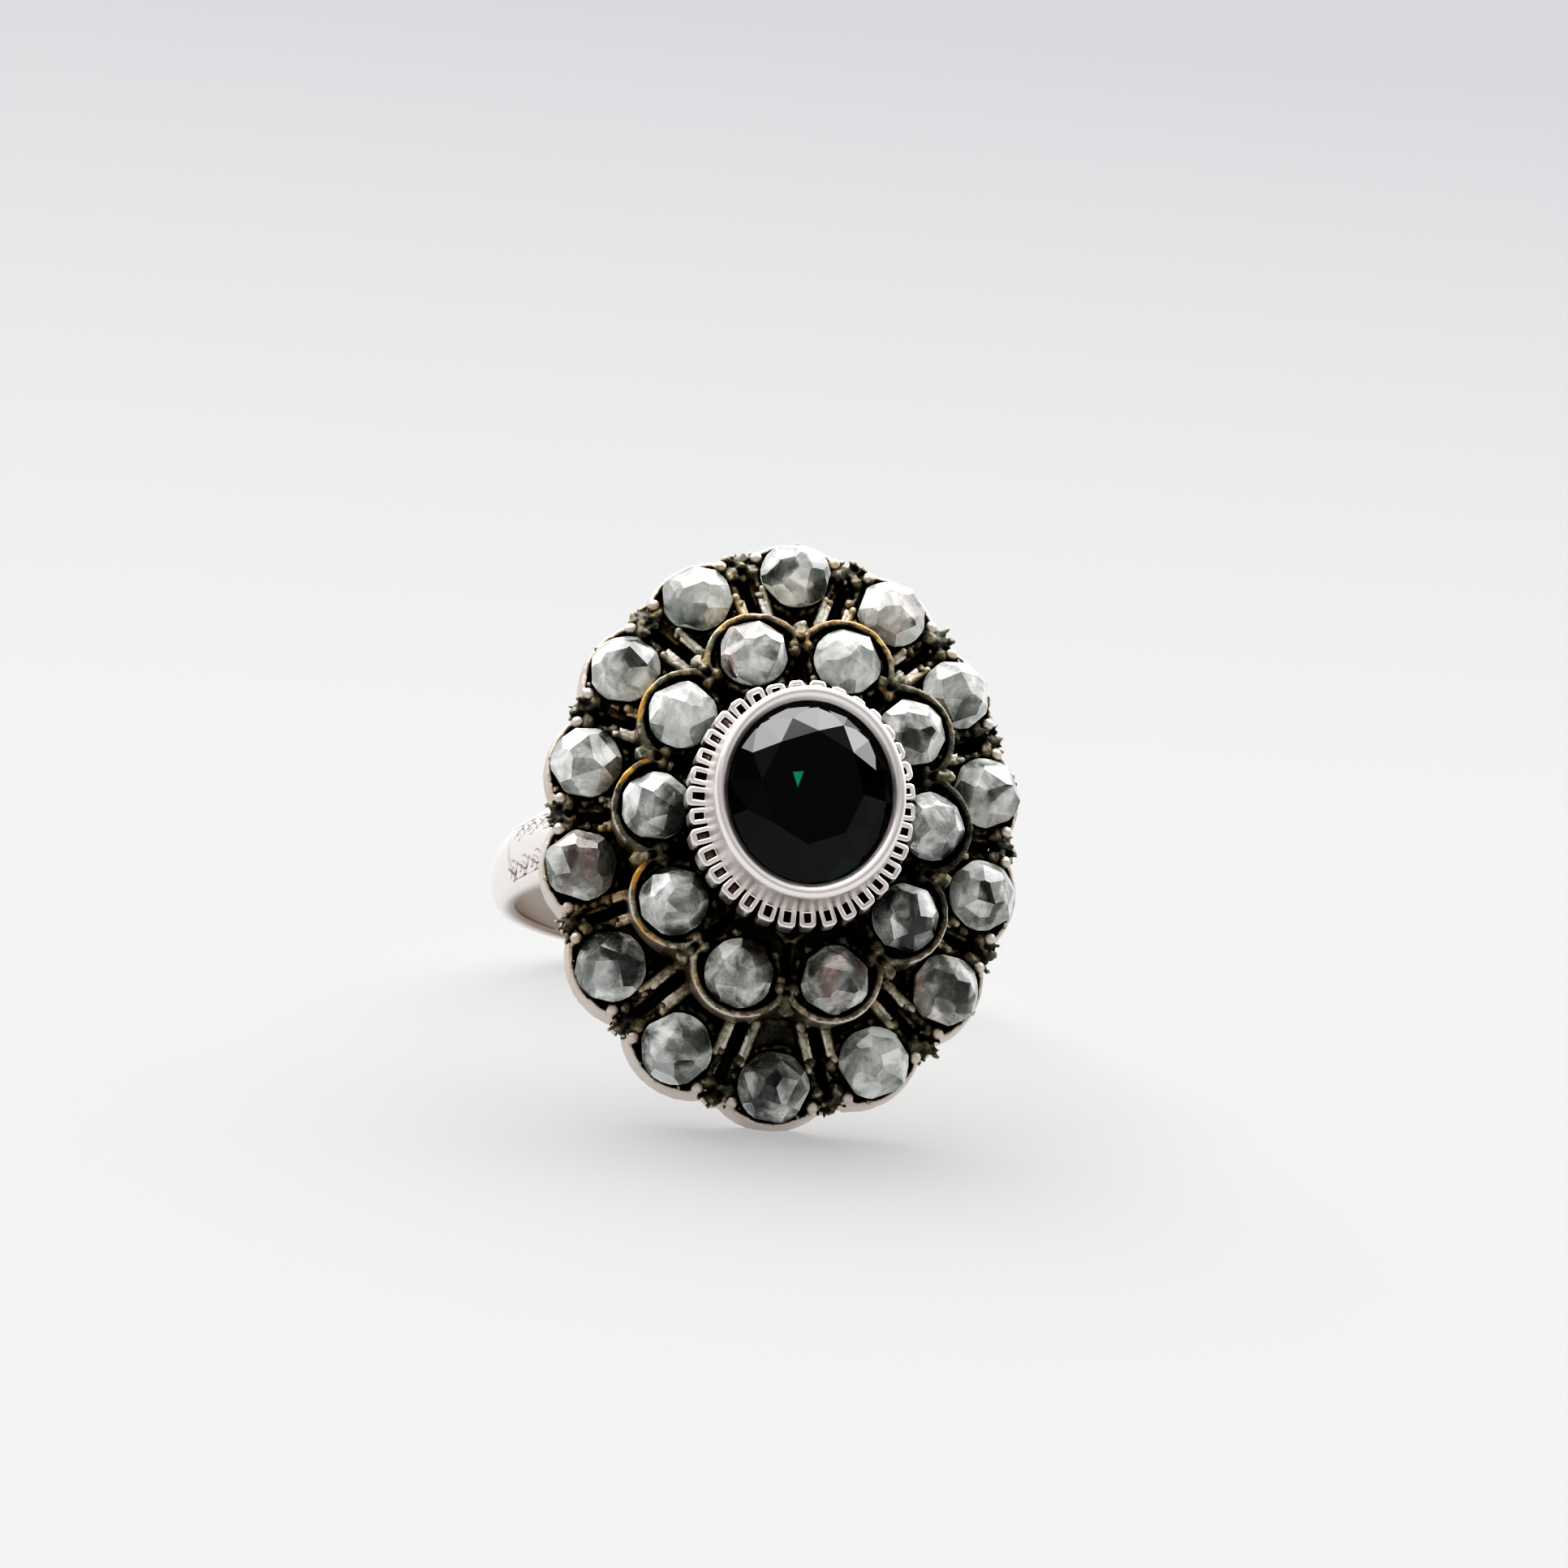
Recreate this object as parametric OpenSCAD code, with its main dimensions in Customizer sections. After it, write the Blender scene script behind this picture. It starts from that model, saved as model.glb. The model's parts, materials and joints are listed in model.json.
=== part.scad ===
// Cluster ring: an oval centre stone in a bezel on two scalloped tiers of rose-cut stones.
// It lies on its side, on the lower rim of its head and the back of its shank. Millimetres.

/* [Shank] */
// Diameter of the finger hole
finger_d = 17.6; // [15:0.2:21]
// Thickness of the shank at the middle of its width
shank_t = 1; // [0.8:0.1:1.8]
// Thickness of the shank at its edges, where it is widest
shank_edge_t = 0.55; // [0.4:0.05:0.7]
// Width of the shank at the back
back_w = 1.8; // [1.4:0.1:3]
// Width of the shoulders, where they meet the head
shoulder_w = 2.6; // [2.4:0.1:4]
// Radius of the shoulders' outer side, seen along the finger
shoulder_r = 18; // [14:0.5:26]
// Thickness of the hoop that passes behind the head
bridge_t = 0.75; // [0.6:0.05:0.9]
// Metal between the finger hole and the plane of the outer stones
under_head = 2; // [1.9:0.05:3]

/* [Outer tier] */
// Number of stones
outer_count = 14; // [12:1:15]
// Half the width of the oval through the middles of the stones
outer_a = 7.7; // [7.4:0.1:8.6]
// Half the length of that oval
outer_b = 9.8; // [9.4:0.1:10.6]
// Diameter of a stone
outer_stone_d = 2.7; // [2.3:0.05:2.9]
// Tilt of a stone away from the middle of the head
outer_tilt = 15; // [8:1:20]
// Radius of a scallop of the rim
outer_scallop_r = 2.45; // [2.2:0.05:2.8]
// Reach of the rim's lip past the middle of a stone
outer_reach = 1.5; // [1.45:0.01:1.8]
// Flare of the rim, from its lip down to its lower edge
outer_flare = 0.3; // [0.1:0.05:0.4]
// Thickness of the rim's lip
outer_lip_t = 0.18; // [0.14:0.01:0.22]
// Depth of the lip below the stone's girdle
outer_lip_drop = 0.2; // [0.1:0.05:0.3]
// Thickness of the plate
plate_t = 0.55; // [0.5:0.05:0.9]

/* [Inner tier] */
// Number of stones
inner_count = 10; // [8:1:11]
// Half the width of the oval through the middles of the stones
inner_a = 5.15; // [4.9:0.05:5.4]
// Half the length of that oval
inner_b = 6.45; // [6.2:0.05:6.8]
// Diameter of a stone
inner_stone_d = 2.6; // [2.2:0.05:2.7]
// Height of the inner stones above the outer ones
inner_rise = 2.2; // [2:0.1:2.8]
// Tilt of a stone away from the middle of the head
inner_tilt = 12; // [6:1:16]
// Radius of a scallop of the edge
inner_scallop_r = 1.95; // [1.85:0.05:2.2]
// Reach of the edge past the middle of a stone
inner_reach = 1.62; // [1.55:0.01:1.8]
// Thickness of the edge's lip
inner_lip_t = 0.26; // [0.18:0.01:0.3]
// How much wider an inner scallop is at its foot
inner_flare = 0.3; // [0.1:0.05:0.4]
// Height of the lip above the stone's girdle
inner_lip_h = 0.2; // [0.1:0.05:0.5]

/* [Bezel] */
// Half the width of the bezel
bezel_a = 3.55; // [3.4:0.05:3.65]
// Half its length
bezel_b = 4; // [3.8:0.05:4.3]
// Thickness of its wall
bezel_t = 0.45; // [0.35:0.05:0.6]
// Height of its rim above the outer stones
bezel_top = 6.5; // [6.2:0.1:7.5]
// Number of loops in its gallery
loop_count = 34; // [28:1:38]
// Height of the gallery's upper side above the outer stones
loop_top = 4.4; // [4.3:0.1:4.7]
// Height of a loop
loop_h = 1; // [0.6:0.1:1.1]
// Width of a loop
loop_w = 0.54; // [0.4:0.02:0.58]
// Reach of a loop from the bezel's wall
loop_reach = 0.75; // [0.5:0.05:0.8]
// Thickness of a loop's wire
loop_wire = 0.17; // [0.12:0.01:0.2]
// Depth of the dent in a loop
loop_dent = 0.5; // [0.3:0.05:0.6]

/* [Centre stone] */
// Depth of the girdle below the bezel's rim
girdle_drop = 0.5; // [0.3:0.05:0.8]
// Height of the crown, from girdle to table
crown_h = 0.85; // [0.6:0.05:1.2]
// Depth of the pavilion, from girdle to point
pavilion_h = 2.2; // [1.6:0.1:2.6]
// Turn of the table's first corner from the top, clockwise
table_turn = 3.5; // [0:0.5:45]
// Width of the table, as a share of the girdle
table_share = 0.62; // [0.5:0.01:0.65]
// Width of the ring through the star facets' points, as a share of the girdle
star_share = 0.81; // [0.72:0.01:0.82]

/* [Rose-cut stones] */
// Height of a stone, from its flat back to its table
rose_h = 1.1; // [0.8:0.05:1.3]
// Thickness of a stone's girdle
girdle_t = 0.15; // [0.1:0.01:0.25]
// Width of a stone's table, as a share of its girdle
rose_table = 0.24; // [0.15:0.01:0.35]
// Width and height of the star facets' lower points, as a share of the stone's
rose_star = 0.66; // [0.6:0.01:0.7]
// Unevenness of the cutting, as a share of each size
rose_uneven = 0.11; // [0:0.01:0.12]

/* [Slots, grains and claws] */
// Width of the slots between the outer stones
slot_w = 0.36; // [0.24:0.02:0.4]
// Depth of the slots under the floor of the pockets
slot_depth = 0.3; // [0.1:0.05:0.4]
// Width of the grooves between the inner stones
groove_w = 0.3; // [0.2:0.02:0.36]
// Width of the bars along the slots
bar_w = 0.38; // [0.26:0.02:0.42]
// Diameter of a grain beside a stone
grain_d = 0.5; // [0.4:0.02:0.6]
// Height of a grain above the stone's back
grain_top = 0.2; // [0.1:0.05:0.4]
// Turn of an outer stone's two grains from its outermost point
outer_grain_turn = 66; // [60:1:72]
// Turn of an inner stone's two grains from its outermost point
inner_grain_turn = 98; // [92:1:104]
// Diameter of the lump at the foot of a rim claw
claw_d = 0.9; // [0.84:0.02:1.1]
// Length of a rim claw
claw_h = 0.55; // [0.4:0.05:0.7]
// Angle of each of a rim claw's two prongs from the middle of its slot
claw_spread = 16; // [12:1:20]
// Lean of a rim claw away from the middle of the head
claw_lean = 24; // [15:1:30]
// Diameter of a bead between the inner scallops
bead_d = 0.66; // [0.5:0.02:0.8]
// Clearance between a stone and the metal round it
stone_gap = 0.04; // [0.03:0.01:0.06]

/* [Wear] */
// Depth of the flats worn on the rim and the shank, where the ring lies on them
worn = 0.15; // [0.05:0.01:0.25]

/* [Hidden] */
$fn = 40;
two_digits = function(n) str(n < 10 ? "0" : "", n);

// The head's own frame: x across, y along the finger, z out of the face. Zero is the middle of the
// outer stones' plane. A seat's frame: x along the tier, y away from the middle, z out of the stone.
finger_r = finger_d / 2;
shank_r = finger_r + shank_t;
hole_z = -(under_head + finger_r);
// Depth of a pocket's floor below the girdle
floor_drop = 0.6;
// How deep one soldered form reaches into another
weld = 0.2;
// Cutters run this far past what they cut
past = 1;

// Where a tier's stones stand: points at equal steps along an oval, clockwise from its top
oval_point = function(a, b, t) [a * sin(t), b * cos(t)];
arc_step = 1;
arc_table = function(a, b) [
    for (t = 0, s = 0; t <= 360;
         s = s + norm(oval_point(a, b, t + arc_step) - oval_point(a, b, t)), t = t + arc_step) [s, t]
];
oval_angle = function(arc, share) lookup((share - floor(share)) * arc[len(arc) - 1][0], arc);
outer_arc = arc_table(outer_a, outer_b);
inner_arc = arc_table(inner_a, inner_b);
bezel_arc = arc_table(bezel_a, bezel_b);
// Turn of the oval's outward normal from the top, clockwise
outward = function(a, b, t) atan2(b * sin(t), a * cos(t));
// The seats of a tier without a stone at its top are half a step on
inner_start = 0.5;

plate_bottom = -(floor_drop + plate_t);
disc_y = outer_reach - outer_scallop_r;
inner_disc_y = inner_reach - inner_scallop_r;
inner_wall_h = inner_rise + floor_drop;
// Where the bars and slots start, under the inner tier's edge
tier_gap_y = -(outer_b - inner_b - inner_reach + 2 * weld);
// Clearance of a bar from its slot, and its height above the stone's back
bar_edge = 0.06;
bar_share = 0.6;
// Distance of the beads outside the oval through the inner stones' middles
bead_out = 0.72;
core_a = inner_a + inner_reach / 2;
core_b = inner_b + inner_reach / 2;
core_top = inner_rise - floor_drop - weld;

// The lump of a rim claw, in its gap's frame
claw_y = outer_reach + outer_flare - claw_d;
claw_z = -(floor_drop + weld);

// How it rests. A point of a seat's frame, taken to the head's frame.
from_seat = function(a, b, arc, share, tilt, q)
    let (
        t = oval_angle(arc, share),
        turn = outward(a, b, t),
        p = oval_point(a, b, t),
        along = q.y * cos(tilt) + q.z * sin(tilt)
    )
    [p.x + along * sin(turn), p.y + along * cos(turn), q.z * cos(tilt) - q.y * sin(tilt)];
crown_drop = shank_t - shank_edge_t;
crown_r = (pow(shoulder_w / 2, 2) + pow(crown_drop, 2)) / (2 * crown_drop);
edge_fall = function(w) crown_r - sqrt(pow(crown_r, 2) - pow(w / 2, 2));
back_point = [0, -back_w / 2, hole_z - shank_r + edge_fall(back_w)];
// Tilt at which the floor touches the back of the shank and a ball of radius r at point q
tilt_on = function(q, r)
    let (dy = back_point.y - q.y, dz = back_point.z - q.z) atan2(dz, dy) + acos(-r / norm([dy, dz]));
claw_tilts = [for (k = [0 : outer_count - 1])
    tilt_on(
        from_seat(outer_a, outer_b, outer_arc, (k + 0.5) / outer_count, outer_tilt, [0, claw_y, claw_z]),
        claw_d / 2
    )];
rim_tilts = [for (k = [0 : outer_count - 1])
    tilt_on(
        from_seat(
            outer_a, outer_b, outer_arc, k / outer_count, outer_tilt,
            [0, outer_reach + outer_flare, plate_bottom]
        ),
        0
    )];
rest_tilt = max(concat(claw_tilts, rim_tilts));
rest_lift = -(back_point.y * cos(rest_tilt) + back_point.z * sin(rest_tilt)) - worn;
back_reach = back_w / 2 * sin(rest_tilt) - back_point.z * cos(rest_tilt);
front_reach = -bezel_b * sin(rest_tilt) - bezel_top * cos(rest_tilt);
rest_middle = (back_reach + front_reach) / 2;

// Takes the head's frame to the frame of the ring as it lies, on z = 0
module lying() {
    translate([0, -rest_middle, rest_lift]) rotate([90 - rest_tilt, 0, 0]) children();
}

module on_oval(a, b, arc, share, z, tilt) {
    t = oval_angle(arc, share);
    p = oval_point(a, b, t);
    translate([p.x, p.y, z]) rotate([-tilt, 0, -outward(a, b, t)]) children();
}

module on_outer(k) {
    on_oval(outer_a, outer_b, outer_arc, k / outer_count, 0, outer_tilt) children();
}

module on_inner(k) {
    on_oval(inner_a, inner_b, inner_arc, (k + inner_start) / inner_count, inner_rise, inner_tilt)
        children();
}

// An upright oval prism from z0 to z1
module oval_prism(a, b, z0, z1) {
    translate([0, 0, z0]) scale([1, b / a, 1]) cylinder(r = a, h = z1 - z0);
}

// A post with a round head, standing on the pocket's floor
module grain(d, top) {
    translate([0, 0, -floor_drop - weld]) cylinder(d = 0.8 * d, h = top + floor_drop + weld - d / 2);
    translate([0, 0, top - d / 2]) sphere(d = d);
}

// Shank

// The hoop's section: flat at the finger, rounded outside
module hoop_section(outer_r, depth) {
    intersection() {
        translate([outer_r - depth, -shoulder_w / 2]) square([depth, shoulder_w]);
        translate([outer_r - crown_r, 0]) circle(r = crown_r, $fn = 120);
    }
}

// From its widest at the finger's middle the hoop narrows to the back
module taper() {
    s = shoulder_w / 2;
    b = back_w / 2;
    back_z = hole_z - shank_r;
    wide_z = (hole_z + plate_bottom) / 2;
    rotate([90, 0, 90])
        translate([0, 0, -2 * shank_r])
            linear_extrude(height = 4 * shank_r)
                polygon([[-s, wide_z], [-b, back_z], [b, back_z], [s, wide_z], [s, past], [-s, past]]);
}

// It rises until its outer side is over the outer stones' middles
module shoulder() {
    rise = acos((shoulder_r - shank_r + outer_a) / shoulder_r);
    translate([shank_r - shoulder_r, 0, hole_z])
        rotate([90, 0, 0])
            rotate_extrude(angle = rise, $fn = 240) hoop_section(shoulder_r, shank_r / 2);
}

module shank() {
    difference() {
        intersection() {
            union() {
                translate([0, 0, hole_z])
                    rotate([90, 180, 0])
                        rotate_extrude(angle = 180, $fn = 160) hoop_section(shank_r, shank_t + weld);
                shoulder();
                mirror([1, 0, 0]) shoulder();
                translate([0, shoulder_w / 2, hole_z])
                    rotate([90, 0, 0]) cylinder(r = finger_r + bridge_t, h = shoulder_w, $fn = 160);
            }
            taper();
            translate([-2 * shank_r, -shoulder_w, hole_z - 2 * shank_r])
                cube([4 * shank_r, 2 * shoulder_w, 2 * shank_r - hole_z - floor_drop - plate_t / 2]);
        }
        translate([0, shoulder_w, hole_z])
            rotate([90, 0, 0]) cylinder(r = finger_r, h = 2 * shoulder_w, $fn = 160);
    }
}

// Outer tier

module outer_disc() {
    translate([0, disc_y, plate_bottom])
        cylinder(
            r1 = outer_scallop_r + outer_flare,
            r2 = outer_scallop_r,
            h = -outer_lip_drop - plate_bottom
        );
}

module outer_pocket() {
    translate([0, disc_y, -floor_drop])
        cylinder(r = outer_scallop_r - outer_lip_t, h = floor_drop + past);
}

// The flat pedestal under a stone's back
module stone_seat(stone_d) {
    translate([0, 0, -floor_drop - weld])
        cylinder(d = 0.8 * stone_d, h = floor_drop + weld - stone_gap);
}

module outer_grains() {
    away = outer_stone_d / 2 + stone_gap + grain_d / 2;
    for (side = [-1, 1])
        rotate([0, 0, side * outer_grain_turn]) translate([0, away, 0]) grain(grain_d, grain_top);
}

module slot() {
    far = claw_y - claw_d / 3;
    near = tier_gap_y - past;
    translate([-slot_w / 2, near, -floor_drop - slot_depth])
        cube([slot_w, far - near, floor_drop + slot_depth + past]);
}

module slot_bars() {
    for (side = [-1, 1])
        translate([side * (slot_w / 2 + bar_edge + bar_w / 2) - bar_w / 2, tier_gap_y, -floor_drop - weld])
            cube([bar_w, bar_share * -tier_gap_y, floor_drop + weld + bar_edge]);
}

// A forked claw over the end of a slot, on a round lump
module rim_claw() {
    translate([0, claw_y, claw_z]) sphere(d = claw_d);
    for (side = [-1, 1])
        translate([0, claw_y, claw_z])
            rotate([-claw_lean, side * claw_spread, 0])
                cylinder(d1 = claw_d * 2 / 3, d2 = claw_d / 3, h = claw_h + claw_d / 2);
}

// One stone's part of the plate: its disc, opened by its own pocket, its neighbours' and two slots
module outer_cell(k) {
    difference() {
        on_outer(k) outer_disc();
        for (j = [k - 1 : k + 1]) on_outer(j) outer_pocket();
        for (j = [k - 0.5, k + 0.5]) on_outer(j) slot();
    }
}

module outer_tier() {
    for (k = [0 : outer_count - 1]) outer_cell(k);
    for (k = [0 : outer_count - 1]) on_outer(k) {
        stone_seat(outer_stone_d);
        outer_grains();
    }
    for (k = [0 : outer_count - 1]) on_outer(k + 0.5) {
        slot_bars();
        rim_claw();
    }
}

// Inner tier

module inner_disc() {
    translate([0, inner_disc_y, -inner_wall_h])
        cylinder(r1 = inner_scallop_r + inner_flare, r2 = inner_scallop_r, h = inner_wall_h + inner_lip_h);
}

module inner_pocket() {
    translate([0, inner_disc_y, -floor_drop])
        cylinder(r = inner_scallop_r - inner_lip_t, h = floor_drop + inner_lip_h + past);
}

module inner_grains() {
    away = inner_stone_d / 2 + stone_gap + grain_d / 2;
    for (side = [-1, 1])
        rotate([0, 0, side * inner_grain_turn]) translate([0, away, 0]) grain(grain_d, grain_top);
}

module groove() {
    translate([-groove_w / 2, -inner_reach, -2 * floor_drop])
        cube([groove_w, inner_reach + bead_out - bead_d / 2, 2 * floor_drop + inner_lip_h + past]);
}

module inner_cell(k) {
    difference() {
        on_inner(k) inner_disc();
        for (j = [k - 1 : k + 1]) on_inner(j) inner_pocket();
        for (j = [k - 0.5, k + 0.5]) on_inner(j) groove();
    }
}

module inner_tier() {
    for (k = [0 : inner_count - 1]) inner_cell(k);
    for (k = [0 : inner_count - 1]) on_inner(k) {
        stone_seat(inner_stone_d);
        inner_grains();
    }
    for (k = [0 : inner_count - 1]) on_inner(k + 0.5)
        translate([0, bead_out, 0]) grain(bead_d, grain_top);
    oval_prism(core_a, core_b, plate_bottom - weld, core_top);
}

// Bezel

// Half the bezel's inner width, at its rim
bezel_in = bezel_a - bezel_t;
girdle_z = bezel_top - girdle_drop;
// Below the girdle the wall thickens to a ledge
ledge = 0.3;

module bezel_wall() {
    round_off = 0.3 * bezel_t;
    scale([1, bezel_b / bezel_a, 1])
        rotate_extrude($fn = 120)
            polygon([
                [bezel_in - ledge, core_top - weld],
                [bezel_a, core_top - weld],
                [bezel_a, bezel_top - round_off],
                [bezel_a - round_off, bezel_top],
                [bezel_in + round_off, bezel_top],
                [bezel_in, bezel_top - round_off],
                [bezel_in, girdle_z - 2 * girdle_t],
                [bezel_in - ledge, girdle_z - 2 * girdle_t - ledge]
            ]);
}

module gallery_loop() {
    translate([-loop_w / 2, -bezel_t / 2, 0]) difference() {
        cube([loop_w, bezel_t / 2 + loop_reach, loop_h]);
        translate([loop_wire, bezel_t / 2 + loop_wire, loop_h - loop_dent])
            cube([loop_w - 2 * loop_wire, loop_reach - 2 * loop_wire, loop_dent + past]);
    }
}

module bezel() {
    bezel_wall();
    for (k = [0 : loop_count - 1])
        on_oval(bezel_a, bezel_b, bezel_arc, k / loop_count, loop_top - loop_h, 0) gallery_loop();
}

module ring_mount() {
    below = 4 * shank_r;
    color("darkslategray") difference() {
        lying() {
            shank();
            outer_tier();
            inner_tier();
            bezel();
        }
        translate([-below / 2, -below / 2, -below]) cube(below);
    }
}

// Stones

// The stones are set without regard to how their facets point
outer_turn_step = 37;
inner_turn_step = 53;
inner_seed = 100;
// Ring of the points where the pavilion's lower facets meet, as shares of the girdle and the depth
low_share = 0.24;
low_depth_share = 0.86;

// A flat polygon of n points as triangles, facing up or down
fan = function(first, n, up) [for (i = [1 : n - 2])
    up ? [first, first + i + 1, first + i] : [first, first + i, first + i + 1]];

// A rose cut: a small table, six star facets cut in two, and eighteen facets down to the girdle.
// Every stone is a little irregular, as hand-cut stones are.
module rose_cut(d, seed) {
    n = 6;
    turn = 360 / n;
    r = d / 2;
    uneven = rands(-1, 1, 4 * n, seed);
    lean = rose_uneven * r * [uneven[0], uneven[1], 0];
    ring_pt = function(radius, angle, z) [radius * sin(angle), radius * cos(angle), z];
    table = [for (i = [0 : n - 1])
        ring_pt(rose_table * r * (1 + 2 * rose_uneven * uneven[i]), i * turn, rose_h) + lean];
    star_ring = [for (i = [0 : n - 1])
        ring_pt(
            rose_star * r * (1 + rose_uneven * uneven[n + i]),
            (i + rose_uneven * uneven[2 * n + i]) * turn,
            rose_star * rose_h * (1 + rose_uneven * uneven[3 * n + i])
        )];
    girdle_up = [for (i = [0 : 2 * n - 1]) ring_pt(r, i * turn / 2, girdle_t)];
    girdle_low = [for (i = [0 : 2 * n - 1]) ring_pt(r, i * turn / 2, 0)];
    s = n;
    g = 2 * n;
    h = 4 * n;
    next = function(i, m) (i + 1) % m;
    polyhedron(
        points = concat(table, star_ring, girdle_up, girdle_low),
        faces = concat(
            fan(0, n, false),
            [for (i = [0 : n - 1]) [i, s + i, s + next(i, n)]],
            [for (i = [0 : n - 1]) [i, s + next(i, n), next(i, n)]],
            [for (i = [0 : n - 1]) [s + i, g + 2 * i, g + 2 * i + 1]],
            [for (i = [0 : n - 1]) [s + i, g + 2 * i + 1, s + next(i, n)]],
            [for (i = [0 : n - 1]) [s + next(i, n), g + 2 * i + 1, g + next(2 * i + 1, 2 * n)]],
            [for (i = [0 : 2 * n - 1]) [g + i, h + i, h + next(i, 2 * n), g + next(i, 2 * n)]],
            fan(h, 2 * n, true)
        )
    );
}

module outer_stone(k) {
    color("gainsboro") lying() on_outer(k) rotate([0, 0, outer_turn_step * k]) rose_cut(outer_stone_d, k);
}

module inner_stone(k) {
    color("gainsboro") lying() on_inner(k)
        rotate([0, 0, inner_turn_step * k]) rose_cut(inner_stone_d, inner_seed + k);
}

// An oval brilliant: eight-sided table, stars, kites and girdle facets, and a pavilion to a point
module centre_stone() {
    n = 8;
    turn = 360 / n;
    a = bezel_in - stone_gap;
    b = bezel_in * bezel_b / bezel_a - stone_gap;
    pt = function(share, angle, z) [a * share * sin(angle), b * share * cos(angle), z];
    star_z = crown_h * (1 - star_share) / (1 - table_share);
    table = [for (i = [0 : n - 1]) pt(table_share, table_turn + i * turn, crown_h)];
    star = [for (i = [0 : n - 1]) pt(star_share, table_turn + (i + 0.5) * turn, star_z)];
    girdle_up = [for (i = [0 : 2 * n - 1]) pt(1, table_turn + i * turn / 2, girdle_t / 2)];
    girdle_low = [for (i = [0 : 2 * n - 1]) pt(1, table_turn + i * turn / 2, -girdle_t / 2)];
    low_z = -low_depth_share * pavilion_h;
    low = [for (i = [0 : n - 1]) pt(low_share, table_turn + (i + 0.5) * turn, low_z)];
    s = n;
    g = 2 * n;
    h = 4 * n;
    l = 6 * n;
    culet = 7 * n;
    next = function(i, m) (i + 1) % m;
    color("darkgreen") lying() translate([0, 0, girdle_z]) polyhedron(
        points = concat(table, star, girdle_up, girdle_low, low, [[0, 0, -pavilion_h]]),
        faces = concat(
            fan(0, n, false),
            [for (i = [0 : n - 1]) [i, s + i, next(i, n)]],
            [for (i = [0 : n - 1]) [next(i, n), s + i, g + next(2 * i + 1, 2 * n)]],
            [for (i = [0 : n - 1]) [i, g + 2 * i, s + i]],
            [for (i = [0 : n - 1]) [s + i, g + 2 * i, g + 2 * i + 1]],
            [for (i = [0 : n - 1]) [s + i, g + 2 * i + 1, g + next(2 * i + 1, 2 * n)]],
            [for (i = [0 : 2 * n - 1]) [g + i, h + i, h + next(i, 2 * n), g + next(i, 2 * n)]],
            [for (i = [0 : n - 1]) [h + 2 * i, l + i, h + 2 * i + 1]],
            [for (i = [0 : n - 1]) [h + 2 * i + 1, l + i, h + next(2 * i + 1, 2 * n)]],
            [for (i = [0 : n - 1]) [h + 2 * next(i, n), l + i, l + next(i, n)]],
            [for (i = [0 : n - 1]) [l + i, culet, l + next(i, n)]]
        )
    );
}

ring_mount();
centre_stone();
for (k = [0 : outer_count - 1])
    outer_stone(k);
for (k = [0 : inner_count - 1])
    inner_stone(k);
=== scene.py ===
# %% [markdown]
# # A two-tier cluster ring
#
# The real ring is soldered from silver: a shank, two scalloped tiers that hold rose-cut stones, and a
# raised oval bezel with a gallery of small square loops. The tiers are blackened, the bezel and the
# shank are bright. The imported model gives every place, and this script dresses it.

# %% The frame
import json
import math
import random

import bmesh
import bpy
import numpy as np
from mathutils import Matrix, Vector


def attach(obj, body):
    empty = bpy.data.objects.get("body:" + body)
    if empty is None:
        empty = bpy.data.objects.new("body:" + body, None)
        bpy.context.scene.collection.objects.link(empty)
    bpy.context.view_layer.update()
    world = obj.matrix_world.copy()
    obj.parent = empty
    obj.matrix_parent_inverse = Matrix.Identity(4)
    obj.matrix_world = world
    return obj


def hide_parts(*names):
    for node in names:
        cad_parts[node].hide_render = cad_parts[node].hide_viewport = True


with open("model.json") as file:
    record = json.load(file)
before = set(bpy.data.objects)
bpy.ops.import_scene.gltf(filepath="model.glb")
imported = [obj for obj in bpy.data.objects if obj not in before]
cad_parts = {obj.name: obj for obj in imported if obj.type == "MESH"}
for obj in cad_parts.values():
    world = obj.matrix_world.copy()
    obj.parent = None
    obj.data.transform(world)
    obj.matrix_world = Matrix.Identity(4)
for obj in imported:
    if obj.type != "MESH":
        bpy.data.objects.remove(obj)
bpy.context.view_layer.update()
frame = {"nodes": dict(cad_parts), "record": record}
print("nodes in the frame:", len(frame["nodes"]))

# %% [markdown]
# ## The head's own frame
#
# The ring lies on its side, so its head leans back. All pieces are made in the head's own frame, in
# millimetres: x across the face, y along the finger, z out of the face, with zero in the plane of the
# outer stones. Each could be made lying, as the ring does, but in this frame every size reads as on a
# maker's drawing. The finger hole's axis in the record says how the frame stands, and the finger
# starts two millimetres under the stones' plane.

# %% Head frame
MM = 0.001
hole = next(m for m in frame["record"]["mounts"] if m["name"] == "finger_hole")
FINGER_R = hole["dims"]["r_mm"]
UNDER_HEAD = 2.0
HOLE_Z = -(UNDER_HEAD + FINGER_R)

across = Vector((1, 0, 0))
along_finger = Vector(hole["axis"]).normalized()
out_of_face = across.cross(along_finger)
head_origin = Vector(hole["pos_m"]) - out_of_face * HOLE_Z * MM
head_turn = Matrix((across, along_finger, out_of_face)).transposed().to_4x4()
HEAD = Matrix.Translation(head_origin) @ head_turn @ Matrix.Scale(MM, 4)
print("the face leans back by", round(math.degrees(math.asin(out_of_face.z)), 1), "degrees")

# %% [markdown]
# ## The camera
#
# The photograph looks a little down at the face, slightly from the left. A camera could be placed by
# eye. Here it is placed by three angles and a shift that were fitted to the stones. It stands a quarter
# of a metre away, and its lens is worked out from how many photo pixels a millimetre covers.

# %% Camera
PHOTO_WIDTH = 1932
PX_PER_MM = 33
CAMERA_AWAY = 250
YAW, PITCH, ROLL = (math.radians(v) for v in (8.12, 13.5, -2.46))
FACE_SHIFT = (0.02, -1.7)
SENSOR = 36
CLIP_START = 0.01

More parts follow.
